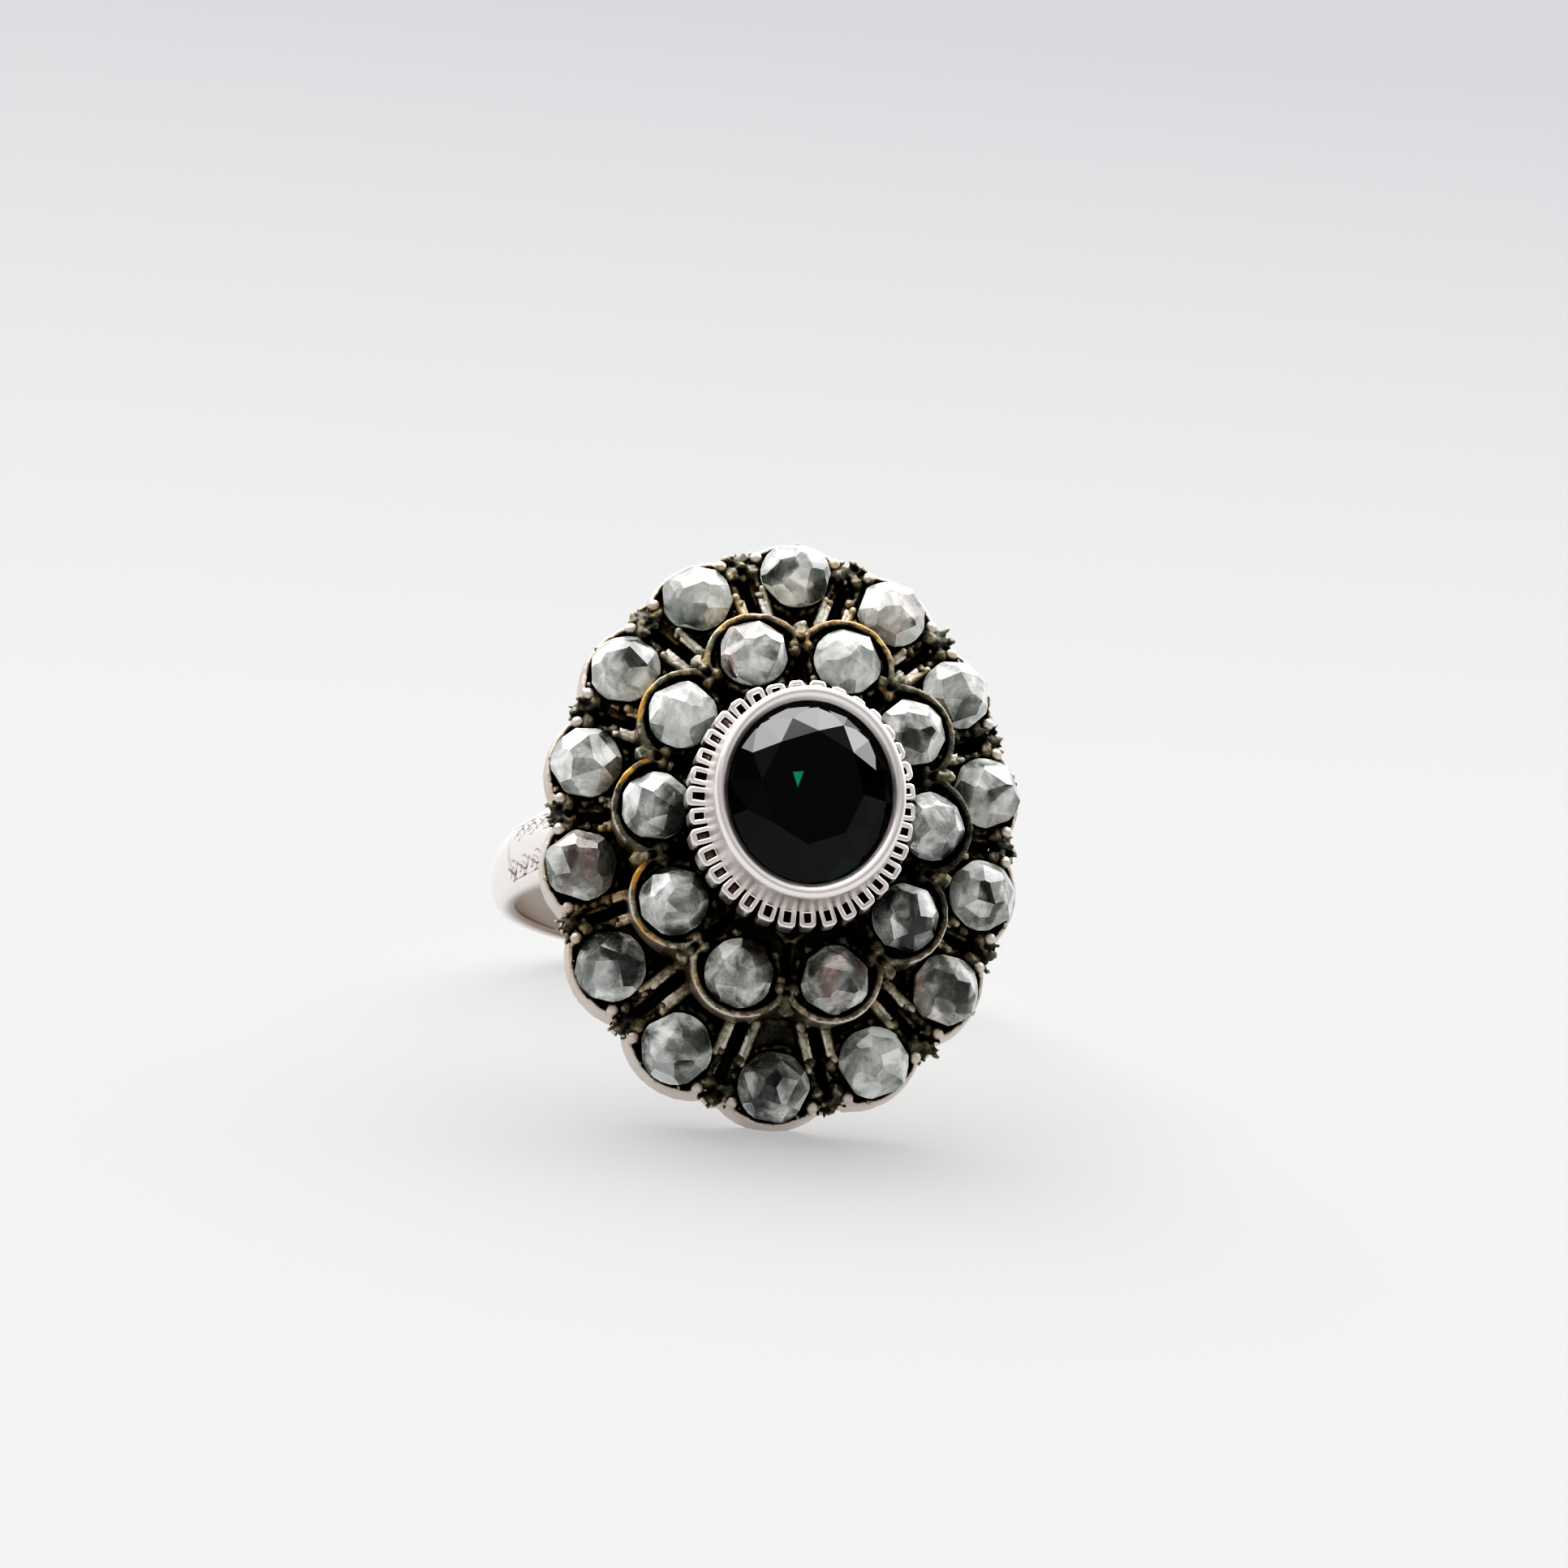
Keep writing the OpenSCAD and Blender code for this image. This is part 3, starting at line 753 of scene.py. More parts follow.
def mark_polish_and_light(part, seats, from_z):
    """Marks the skin above a height that faces outwards from the nearest seat, for wear and painted light.
    """
    count = len(part.data.vertices)
    places = np.empty(count * 3)
    normals = np.empty(count * 3)
    part.data.vertices.foreach_get("co", places)
    part.data.vertices.foreach_get("normal", normals)
    places = places.reshape(-1, 3)
    normals = normals.reshape(-1, 3)
    middles = np.array([tuple(seat.translation)[:2] for seat in seats])
    outward = np.array([tuple((seat.to_3x3() @ Vector((0, 1, 0))).xy.normalized()) for seat in seats])
    near = np.argmin(((places[:, None, :2] - middles) ** 2).sum(axis=2), axis=1)
    facing = (normals[:, :2] * outward[near]).sum(axis=1)
    away = ((places[:, :2] - middles[near]) * outward[near]).sum(axis=1)
    polish = np.clip((facing - POLISH_AND_LIGHT_FROM) / POLISH_AND_LIGHT_RISE, 0, 1)
    polish = polish * (away > POLISH_AND_LIGHT_AWAY) * (places[:, 2] > from_z)
    layer = part.data.attributes.new("polish", "FLOAT", "POINT")
    layer.data.foreach_set("value", polish)


def make_tier(name, span, seats, polish_from_z, away=None):
    """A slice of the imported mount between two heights, less a block that is taken away."""
    tier = packed_copy(name, ["ring_mount"])
    x, y = HEAD_REACH
    boolean(tier, block("keep", (-x, -y, span[0]), (x, y, span[1])), "INTERSECT")
    if away:
        boolean(tier, block("away", *away), "DIFFERENCE")
    melt(tier, VOXEL, keep_share=0.5)
    age(tier, crust=0.03, lump=0.42)
    mark_polish_and_light(tier, seats, polish_from_z)
    return tier


outer_tier = make_tier("outer_tier", OUTER_SPAN, outer_seats, polish_from_z=-2, away=SHOULDERS)
inner_tier = make_tier("inner_tier", INNER_SPAN, inner_seats, polish_from_z=0.6)
finish_piece(outer_tier, plate_finish)
finish_piece(inner_tier, inner_finish)
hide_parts("ring_mount")

# %% [markdown]
# ## Small shapes in a heap
#
# The lumps on old silver are drops and crumbs of metal. They could be sculpted one by one. Here they are
# a heap of small balls and spikes, kept as lists of points, because thousands of them then join into one
# mesh in a moment. The heap has a fixed seed, so it comes out the same on every run.

# %% Small shapes
def small_shape(make, **sizes):
    """Points and triangles of a small shape that is copied many times."""
    bm = bmesh.new()
    make(bm, **sizes)
    bmesh.ops.triangulate(bm, faces=bm.faces)
    bm.verts.index_update()
    points = np.array([tuple(v.co) for v in bm.verts])
    triangles = np.array([[v.index for v in f.verts] for f in bm.faces])
    bm.free()
    return points, triangles


BALL = small_shape(bmesh.ops.create_icosphere, subdivisions=2, radius=1)
SPIKE = small_shape(bmesh.ops.create_cone, cap_ends=True, segments=10, radius1=1, radius2=0.45, depth=1)


class Heap:
    """Small shapes, many of them, that end up in one mesh."""

    def __init__(self, seed):
        self.rng = random.Random(seed)
        self.points = []
        self.triangles = []
        self.count = 0

    def add(self, shape, matrix):
        points, triangles = shape
        turn = np.array(matrix.to_3x3())
        self.points.append(points @ turn.T + np.array(matrix.translation))
        self.triangles.append(triangles + self.count)
        self.count += len(points)

    def ball(self, seat, place, radius, along=None):
        """A ball, or an egg where its reach along the seat's y is given too."""
        size = Matrix.Diagonal((radius, along or radius, radius, 1))
        self.add(BALL, seat @ Matrix.Translation(place) @ size)

    def spike(self, seat, place, lean, spread, length, base):
        """A blunt tip with a round end, spread about the seat's z and leaning outwards from it."""
        lean, spread = math.radians(lean), math.radians(spread)
        turn = Matrix.Rotation(spread, 4, "Z") @ Matrix.Rotation(-lean, 4, "X")
        size = Matrix.Diagonal((base, base, length, 1))
        start = seat @ Matrix.Translation(place) @ turn
        self.add(SPIKE, start @ size @ Matrix.Translation((0, 0, 0.5)))
        self.ball(start, (0, 0, length), base * 0.62)

    def grain(self, seat, place, size, bumps=5):
        """One ball with smaller ones on it."""
        self.ball(seat, place, size * 0.42)
        for _ in range(bumps):
            side = Vector([self.rng.uniform(-1, 1) for _ in range(3)]).normalized()
            self.ball(seat, Vector(place) + side * size * 0.3, size * self.rng.uniform(0.12, 0.24))

    def mesh(self, name):
        points = np.concatenate(self.points).tolist()
        triangles = np.concatenate(self.triangles).tolist()
        mesh = bpy.data.meshes.new(name)
        mesh.from_pydata(points, [], triangles)
        return new_object(name, mesh)


print("triangles of a ball and a spike:", len(BALL[1]), "and", len(SPIKE[1]))

# %% [markdown]
# ## Claws and grains
#
# The stones are held by silver pushed over their edges with a graver: a claw with ragged tips in each
# valley of the rim, grains between the cups, and a rough bank round each stone. Copies of one modelled
# claw would show, so every one is drawn from the heap's own random numbers. A fine voxel remesh then
# melts all of them into one crust.

# %% Claws and grains
# Each tip of a claw: its spread in degrees and its length
CLAW_TIPS = ((-40, 0.38), (-16, 0.5), (4, 0.56), (20, 0.46), (42, 0.36))
TIP_CHANCE = 0.8
CLAW_BALLS = 26


def claw(heap, seat):
    """A lump in the valley between two scallops, with tips of a given spread and length."""
    rng = heap.rng
    heap.ball(seat, (0, 0.75, -0.45), 0.42, along=0.46)
    for side in (-1, 1):
        place = (side * rng.uniform(0.36, 0.48), rng.uniform(0.3, 0.5), -0.2)
        heap.grain(seat, place, rng.uniform(0.65, 0.85))
    for spread, length in CLAW_TIPS:
        if rng.uniform(0, 1) < TIP_CHANCE:
            place = (spread / 100, 0.85, rng.uniform(-0.5, -0.15))
            lean = rng.uniform(45, 88)
            turn = -spread * 0.6 + rng.uniform(-12, 12)
            length *= rng.uniform(0.6, 1.15)
            heap.spike(seat, place, lean, turn, length, base=rng.uniform(0.09, 0.15))
    for _ in range(CLAW_BALLS):
        x, y, z = rng.uniform(-0.5, 0.5), rng.uniform(0.1, 1.15), rng.uniform(-0.5, 0.02)
        heap.ball(seat, (x, y, z), rng.uniform(0.07, 0.17))


def collar(heap, seat, radius, turns, count=24):
    """A rough bank of metal pushed against a stone's edge, from one turn to the other."""
    rng = heap.rng
    first, last = turns
    for i in range(count):
        turn = math.radians(first + (last - first) * (i + rng.uniform(-0.5, 0.5)) / (count - 1))
        size = rng.uniform(0.1, 0.2)
        reach = radius + size * 0.8
        place = (reach * math.sin(turn), reach * math.cos(turn), rng.uniform(-0.34, -0.2))
        heap.ball(seat, place, size)


def crumbs(heap, seat, radius, count):
    """Bits of metal pressed against a stone's edge."""
    rng = heap.rng
    for _ in range(count):
        turn = rng.uniform(0, 2 * math.pi)
        size = rng.uniform(0.05, 0.15)
        reach = radius + size * 0.7
        heap.ball(seat, (reach * math.cos(turn), reach * math.sin(turn), -0.2), size)


def grains_at(heap, seat, radius, turns, size):
    """One grain at each turn round a stone, a little off its place."""
    rng = heap.rng
    for turn in turns:
        turn = math.radians(turn + rng.uniform(-9, 9))
        place = (radius * math.sin(turn), radius * math.cos(turn), -0.12)
        heap.grain(seat, place, size * rng.uniform(0.75, 1.15))


valleys = tier_seats(**{**OUTER, "start": 0.5})
junctions = tier_seats(**{**INNER, "start": 1.0})
crust_heap = Heap(seed=5)
for seat in valleys:
    claw(crust_heap, seat)
for seat in outer_seats:
    grains_at(crust_heap, seat, radius=1.62, turns=(-122, 122), size=0.55)
    collar(crust_heap, seat, radius=1.34, turns=(70, 290))
    crumbs(crust_heap, seat, radius=1.36, count=8)
for seat in inner_seats:
    grains_at(crust_heap, seat, radius=1.56, turns=(-98, 98), size=0.62)
    grains_at(crust_heap, seat, radius=1.5, turns=(-150, 155), size=0.45)
    collar(crust_heap, seat, radius=1.29, turns=(65, 135), count=9)
    collar(crust_heap, seat, radius=1.29, turns=(225, 295), count=9)
    crumbs(crust_heap, seat, radius=1.31, count=8)
for seat in junctions:
    crust_heap.grain(seat, (0, 0.78, -0.1), size=0.8, bumps=8)
    crust_heap.grain(seat, (0, 0.52, 0.0), size=0.72, bumps=6)

FINE_VOXEL = 0.06
FINE_KEEP = 0.6
crust = melt(crust_heap.mesh("crust"), FINE_VOXEL, FINE_KEEP)
age(crust, crust=0.11, lump=0.16)
finish_piece(crust, crust_finish)

# %% [markdown]
# ## Bars
#
# Two narrow bars stand beside each slot. They start at the inner tier, grow thinner outwards and end in
# a small worn head near the claw. A curve with a round profile could make them, but too evenly. They are
# drawn as a row of balls of uneven width that the same remesh melts together.

# %% Bars
BAR_START = -2.3
BAR_END = -0.72
BAR_BALLS = 14
BAR_BALL_REACH = 0.2
BAR_WIDTH = 0.25
BAR_TAPER = 0.09
BAR_APART = 0.42
BAR_SPREAD = 0.12
BAR_FOOT = -0.16
BAR_RISE = 0.08


def bar(heap, seat, side):
    """A tapering bar on one side of the slot, with a worn head at its outer end."""
    rng = heap.rng
    end = BAR_END + rng.uniform(-0.2, 0.2)
    x = side * (BAR_APART + rng.uniform(-0.03, 0.05))
    for i in range(BAR_BALLS):
        share = i / (BAR_BALLS - 1)
        width = BAR_WIDTH - BAR_TAPER * share + rng.uniform(-0.02, 0.02)
        y = BAR_START + (end - BAR_START) * share
        place = (x + side * BAR_SPREAD * share, y, BAR_FOOT + BAR_RISE * share)
        heap.ball(seat, place, width, along=BAR_BALL_REACH)
    heap.ball(seat, (x + side * BAR_SPREAD, end, -0.02), rng.uniform(0.15, 0.2))


bar_heap = Heap(seed=8)
for seat in valleys:
    bar(bar_heap, seat, -1)
    bar(bar_heap, seat, 1)
bars = melt(bar_heap.mesh("bars"), FINE_VOXEL, FINE_KEEP)
age(bars, crust=0.04, lump=0.3)
finish_piece(bars, bar_finish)

# %% [markdown]
# ## The bezel
#
# The bezel is a smooth oval collar: a rounded rim, a thin inner lip, a straight wall and a small flange
# above the gallery. A round one could be turned with a Screw modifier. This one is oval, so its profile
# is carried round point by point: each point has a distance out from the wall and a height.

# %% Bezel
BEZEL_A = 3.55
BEZEL_B = 4.0
BEZEL_TOP = 6.5
BEZEL_STEPS = 220
BEZEL_PROFILE = [
    (-0.45, -3.3), (-0.45, -0.62), (-0.47, -0.46), (-0.51, -0.36), (-0.53, -0.3), (-0.52, -0.24),
    (-0.49, -0.2), (-0.44, -0.15), (-0.38, -0.08), (-0.31, -0.03), (-0.23, 0.0), (-0.15, -0.01),
    (-0.08, -0.05), (-0.03, -0.12), (0.0, -0.22), (0.02, -0.5), (0.04, -1.1), (0.08, -1.5),
    (0.12, -1.72), (0.13, -1.82), (0.1, -1.92), (0.02, -2.0), (0.0, -2.1), (0.0, -3.3),
]


def ring_skin(name, rows):
    """A closed skin from rows of points that go round, each as long as the next."""
    rows = np.array(rows)
    steps, around, _ = rows.shape
    index = np.arange(steps * around).reshape(steps, around)
    nxt = np.roll(index, -1, axis=0)
    faces = np.stack([index, np.roll(index, -1, axis=1), np.roll(nxt, -1, axis=1), nxt], axis=-1)
    mesh = bpy.data.meshes.new(name)
    mesh.from_pydata(rows.reshape(-1, 3).tolist(), [], faces.reshape(-1, 4).tolist())
    bm = bmesh.new()
    bm.from_mesh(mesh)
    bmesh.ops.recalc_face_normals(bm, faces=bm.faces)
    bm.to_mesh(mesh)
    bm.free()
    for polygon in mesh.polygons:
        polygon.use_smooth = True
    return new_object(name, mesh)


def oval_rows(profile, half_axes, height):
    """The profile at each step round the oval; half_axes gives both of them for a distance out."""
    rows = []
    for i in range(BEZEL_STEPS):
        t = 2 * math.pi * i / BEZEL_STEPS
        row = []
        for out, z in profile:
            a, b = half_axes(out)
            row.append((a * math.sin(t), b * math.cos(t), height + z))
        rows.append(row)
    return rows


def bezel_axes(out):
    """Both half-axes grow by the same share, so that the oval keeps its form."""
    a = BEZEL_A + out
    return a, a * BEZEL_B / BEZEL_A


bezel = ring_skin("bezel", oval_rows(BEZEL_PROFILE, bezel_axes, BEZEL_TOP))
smoother = bezel.modifiers.new("smoother", "SUBSURF")
smoother.levels = smoother.render_levels = 1
settle(bezel)
age(bezel, crust=0.008, lump=1.2, blur=14)
finish_piece(bezel, bezel_finish)

# %% [markdown]
# ## The gallery
#
# Small square loops of wire stand round the bezel's foot. They could be an Array along a curve, but
# Geometry Nodes set points at equal steps along the oval, turn one loop outwards on each and make each
# a little uneven, all in one tree. A pan in each loop closes it behind, as the strip it is cut from does.

# %% Gallery
LOOPS = 34
LOOP_WIDTH = 0.46
LOOP_REACH = 0.6
LOOP_HEIGHT = 1.0
LOOP_WIRE = 0.23
LOOP_MIDDLE = BEZEL_TOP - 2.6
LOOP_CORNER = 0.1
WIRE_CORNER = 0.08
CORNER_STEPS = 3
PAN_SHARE = 0.84
LEAST_LOOP = (0.84, 0.84, 0.84)
MOST_LOOP = (1.12, 1.14, 1.08)
LOOP_SEED = 3


def gallery_tree():
    sockets = [
        ("Loops", "Int"), ("Half width", "Float"), ("Half length", "Float"), ("Width", "Float"),
        ("Reach", "Float"), ("Height", "Float"), ("Wire", "Float"), ("Finish", "Material"),
    ]
    tree, g, wire = new_node_group("gallery", sockets)
    circle = g.add("GeometryNodeCurvePrimitiveCircle", {}, {"Resolution": 256, "Radius": 1.0})
    size = g.add(
        "ShaderNodeCombineXYZ", {}, {0: wire["Half width"], 1: wire["Half length"], 2: 1.0}
    )
    oval = g.add("GeometryNodeTransform", {}, {"Geometry": circle, "Scale": size})
    points = g.add("GeometryNodeResampleCurve", {}, {"Curve": oval, "Count": wire["Loops"]})
    tangent = g.add("GeometryNodeInputTangent")
    turn = g.add(
        "FunctionNodeAlignRotationToVector", {"axis": "X", "pivot_axis": "Z"}, {"Vector": tangent}
    )
    outline = g.add(
        "GeometryNodeCurvePrimitiveQuadrilateral", {}, {0: wire["Width"], 1: wire["Reach"]}
    )
    rounding = {"Curve": outline, "Radius": LOOP_CORNER, "Count": CORNER_STEPS}
    soft = g.add("GeometryNodeFilletCurve", {"mode": "POLY"}, rounding)
    strip = g.add(
        "GeometryNodeCurvePrimitiveQuadrilateral", {}, {0: wire["Wire"], 1: wire["Height"]}
    )
    rounding = {"Curve": strip, "Radius": WIRE_CORNER, "Count": CORNER_STEPS}
    strip_soft = g.add("GeometryNodeFilletCurve", {"mode": "POLY"}, rounding)
    frame_only = g.add("GeometryNodeCurveToMesh", {}, {"Curve": soft, "Profile Curve": strip_soft})
    pan_height = wire["Height"] * PAN_SHARE
    pan_size = g.add(
        "ShaderNodeCombineXYZ", {}, {0: wire["Width"], 1: wire["Reach"], 2: pan_height}
    )
    pan = g.add("GeometryNodeMeshCube", {}, {"Size": pan_size})
    loop = g.add("GeometryNodeJoinGeometry", {}, {0: frame_only})
    g.tree.links.new(pan.socket, loop.socket.node.inputs[0])
    uneven = g.add(
        "FunctionNodeRandomValue",
        {"data_type": "FLOAT_VECTOR"},
        {"Min": LEAST_LOOP, "Max": MOST_LOOP, "Seed": LOOP_SEED},
    )
    values = {"Points": points, "Instance": loop, "Rotation": turn, "Scale": uneven}
    placed = g.add("GeometryNodeInstanceOnPoints", {}, values)
    real = g.add("GeometryNodeRealizeInstances", {}, {"Geometry": placed})
    smooth = g.add("GeometryNodeSetShadeSmooth", {}, {"Geometry": real})
    dressed = g.add("GeometryNodeSetMaterial", {}, {"Geometry": smooth, "Material": wire["Finish"]})
    end_node_group(g, dressed)
    return tree


gallery = new_object("gallery", bpy.data.meshes.new("gallery"))
add_nodes(
    gallery, gallery_tree(), Loops=LOOPS, Half_width=BEZEL_A + LOOP_REACH / 2,
    Half_length=BEZEL_B + LOOP_REACH / 2, Width=LOOP_WIDTH, Reach=LOOP_REACH,
    Height=LOOP_HEIGHT, Wire=LOOP_WIRE, Finish=loop_finish,
)
settle(gallery)
gallery.data.transform(Matrix.Translation((0, 0, LOOP_MIDDLE)))
age(gallery, crust=0.06, lump=0.28)
finish_piece(gallery, loop_finish)

# %% [markdown]
# ## The gallery's floor
#
# Behind and below its loops a gallery has a dark strip that closes the bezel's foot. It could be part of
# the bezel's profile. It is a ring of its own here, because it is blackened where the bezel is bright.

# %% Gallery floor
STRIP_MIDDLE = LOOP_MIDDLE - 0.45
STRIP_PROFILE = [
    (-0.1, 0.6), (0.5, 0.6), (0.56, 0.56), (0.58, 0.5), (0.58, -0.5), (-0.1, -0.5),
]


def strip_axes(out):
    """Both half-axes grow by the same length, so that the strip keeps its width."""
    return BEZEL_A + out, BEZEL_B + out


gallery_floor = ring_skin("gallery_floor", oval_rows(STRIP_PROFILE, strip_axes, STRIP_MIDDLE))
age(gallery_floor, crust=0.02, lump=0.3)
finish_piece(gallery_floor, gallery_floor_finish)

# %% [markdown]
# ## The shank
#
# The shank is a band, flat at the finger and rounded outside, that grows into two shoulders. Under the
# head it is flat on both sides and meets the plate. A curve with one profile could not change its width
# and its crown on the way, so the section is worked out at each angle round the finger, and the rows of
# points are closed to one skin.

# %% Shank
# Thickness at the crown and at the edges, width at the back and at the shoulders
SHANK_T = 1.0
SHANK_EDGE_T = 0.55
BACK_W = 1.8
SHOULDER_W = 2.6
# Sweep of a shoulder's outer side, and height of the plate's lower side in the head's frame
SHOULDER_R = 18.0
UNDER_PLATE = -1.0
EDGE_ROUND = 0.16
# From the head the shank is flat up to the first angle and fully crowned from the second
FLAT_TO = math.radians(28)
CROWNED_FROM = math.radians(36)
shank_r = FINGER_R + SHANK_T
crown_drop = SHANK_T - SHANK_EDGE_T
crown_r = ((SHOULDER_W / 2) ** 2 + crown_drop**2) / (2 * crown_drop)


def outer_reach(angle):
    """From the finger's middle to the shank's outer side, at an angle from the head."""
    if abs(angle) >= math.pi / 2:
        return shank_r
    side = (shank_r - SHOULDER_R) * abs(math.sin(angle))
    arc = side + math.sqrt(side**2 + SHOULDER_R**2 - (shank_r - SHOULDER_R) ** 2)
    return min(arc, (UNDER_PLATE - HOLE_Z) / math.cos(angle))


def half_width(z):
    """Half the band's width at a height over the finger's middle."""
    wide = (HOLE_Z + UNDER_PLATE) / 2 - HOLE_Z
    share = min(max((z + shank_r) / (wide + shank_r), 0), 1)
    return (BACK_W + (SHOULDER_W - BACK_W) * share) / 2


def rounded(v, half, radius):
    """How far an edge is rounded off at v, for a band from -half to half."""
    over = max(abs(v) - (half - radius), 0) / radius
    return radius * (1 - math.sqrt(max(1 - over * over, 0)))


def shank_rows(angles, outer_shares, inner_shares):
    """Points of the band's skin, and where each lies: its angle, its v, and 1 on the finger's side."""
    rows, places = [], []
    for angle in angles:
        reach = outer_reach(angle)
        half = half_width(reach * math.cos(angle))
        crowned = min(max((abs(angle) - FLAT_TO) / (CROWNED_FROM - FLAT_TO), 0), 1)
        row, place = [], []
        for share in outer_shares:
            v = share * half
            fall = crown_r - math.sqrt(crown_r**2 - v * v) + rounded(v, half, EDGE_ROUND)
            r = reach - fall * crowned
            row.append((r * math.sin(angle), v, HOLE_Z + r * math.cos(angle)))
            place.append((angle, v, 0))
        for share in inner_shares[::-1]:
            v = share * half
            r = FINGER_R + rounded(v, half, EDGE_ROUND)
            row.append((r * math.sin(angle), v, HOLE_Z + r * math.cos(angle)))
            place.append((angle, v, 1))
        rows.append(row)
        places.append(place)
    return np.array(rows), np.array(places)


print("radius of the shank's crown in mm:", round(crown_r, 2))

# %% [markdown]
# ## The shank's rows of points
#
# Equal steps all round would either blur the engraving or waste points on the plain back. So the rows lie
# close together on the two shoulders and far apart elsewhere.

# %% Shank rows
SHOULDER_FROM = math.radians(35)
SHOULDER_TO = math.radians(92)
ROWS_ON_SHOULDER = 230
ROWS_UNDER_HEAD = 40
ROWS_AT_BACK = 160
POINTS_OUTSIDE = 64
POINTS_INSIDE = 20
SHORT_OF_EDGE = 0.999
on_shoulder = np.linspace(SHOULDER_FROM, SHOULDER_TO, ROWS_ON_SHOULDER)
angles = np.concatenate((
    -on_shoulder[::-1],
    np.linspace(-SHOULDER_FROM, SHOULDER_FROM, ROWS_UNDER_HEAD)[1:-1],
    on_shoulder,
    np.linspace(SHOULDER_TO, 2 * math.pi - SHOULDER_TO, ROWS_AT_BACK)[1:-1],
))
outer_shares = np.sin(np.linspace(-1, 1, POINTS_OUTSIDE) * math.pi / 2 * SHORT_OF_EDGE)
inner_shares = np.sin(np.linspace(-1, 1, POINTS_INSIDE) * math.pi / 2)
rows, places = shank_rows(angles, outer_shares, inner_shares)
print("points on the shank:", rows.shape[0] * rows.shape[1])

# %% [markdown]
# ## Engraving
#
# The shoulders carry traditional leaf sprays between two border lines, cut with a graver. A bump in the
# material could show them, but real grooves are cut into the mesh itself. Each stroke is a curve
# drawn flat, in millimetres along and across the shoulder. Skin near a stroke is pushed in, and the
# `groove` attribute darkens it.

# %% Engraving
GROOVE_HALF = 0.036
GROOVE_DEPTH = 0.05
NEAR_MM = 0.3
FIELD_FROM = 0.6
FIELD_TO = 6.3
FIELD_END = 6.6
FIELD_HALF = 1.02
STEM_POINTS = 60
LEAF_POINTS = 26
# Each spray: where along and across the shoulder, its size, and the side it bends to
SPRAYS = [(0.9 + 0.55 * k, 0.48 * (-1) ** k, 0.56, (-1) ** k) for k in range(10)]


def spray(s, v, size, hand):
    """A bent stem with narrow leaves on both sides, as a graver cuts them."""
    t = np.linspace(0, 1, STEM_POINTS)
    stem = np.stack((s + size * (2 * t - 1), v + hand * size * 0.6 * np.sin(t * math.pi)), axis=1)
    found = [stem]
    leaf = np.linspace(0, 1, LEAF_POINTS)
    for root in range(6, 56, 13):
        for side in (-1, 1):
            reach = size * (0.85 - 0.008 * root)
            x = stem[root, 0] + reach * leaf
            y = stem[root, 1] + side * reach * (0.55 * leaf + 0.2 * np.sin(leaf * math.pi))
            found.append(np.stack((x, y), axis=1))
    return found


def border_lines():
    """A line along each edge and two slanting ones that close the field."""
    along = np.linspace(FIELD_FROM, FIELD_TO, 160)
    edges = [np.stack((along, np.full(along.shape, v)), axis=1) for v in (-FIELD_HALF, FIELD_HALF)]
    across = np.linspace(-FIELD_HALF, FIELD_HALF, 60)
    ends = [np.stack((6.15 + gap + 0.35 * across, across), axis=1) for gap in (0.0, 0.16)]
    return edges + ends


strokes = border_lines()
for placed in SPRAYS:
    strokes += spray(*placed)
strokes = np.concatenate(strokes)
groove = np.zeros(rows.shape[:2])
for i, place in enumerate(places):
    s_mm = (abs(place[0, 0]) - SHOULDER_FROM) * shank_r
    near = strokes[np.abs(strokes[:, 0] - s_mm) < NEAR_MM]
    if len(near):
        gap = np.hypot(near[:, 0] - s_mm, near[:, 1] - place[:, 1, None]).min(axis=1)
        groove[i] = np.clip(1 - gap / GROOVE_HALF, 0, 1) * (place[:, 2] == 0) * (s_mm < FIELD_END)
inwards = np.stack((-np.sin(places[..., 0]), np.zeros(groove.shape), -np.cos(places[..., 0])), axis=-1)
rows = rows + inwards * (groove * GROOVE_DEPTH)[..., None]

shank = ring_skin("shank", rows)
for name, values in [("groove", groove), ("inside", places[..., 2])]:
    layer = shank.data.attributes.new(name, "FLOAT", "POINT")
    layer.data.foreach_set("value", values.ravel())
age(shank, crust=0.008, lump=1.5, blur=4)
finish_piece(shank, shank_finish)

# %% [markdown]
# ## Cutting the stones
#
# A stone could be modelled once and copied, but old rose cuts are all different. So each starts as a
# short round drum and is cut by planes, as a cutter does it: two or three large facets on top, a ring at
# mid height, a steep ring at the girdle, and a few upright cuts that make the outline angular. Every cut
# is a little off, by fixed seeds. A ring of facets is given by its tilt in degrees, the least and the
# most cuts, and where the planes pass: how far out, as a share of the radius, and how high.

# %% Rose-cut stones
OUTER_STONE_WIDTH = 2.7
INNER_STONE_WIDTH = 2.6
STONE_RISE = 1.1
GIRDLE_SIDES = 26
TILT_OFF = 6
TURN_OFF = 0.3
GIRDLE_NORMAL = 0.3
FACET_RINGS = [
    (14, (2, 3), 0.0, 0.98), (34, (4, 6), 0.66, 0.64), (55, (7, 9), 0.96, 0.16), (88, (4, 6), 0.95, 0.3)
]


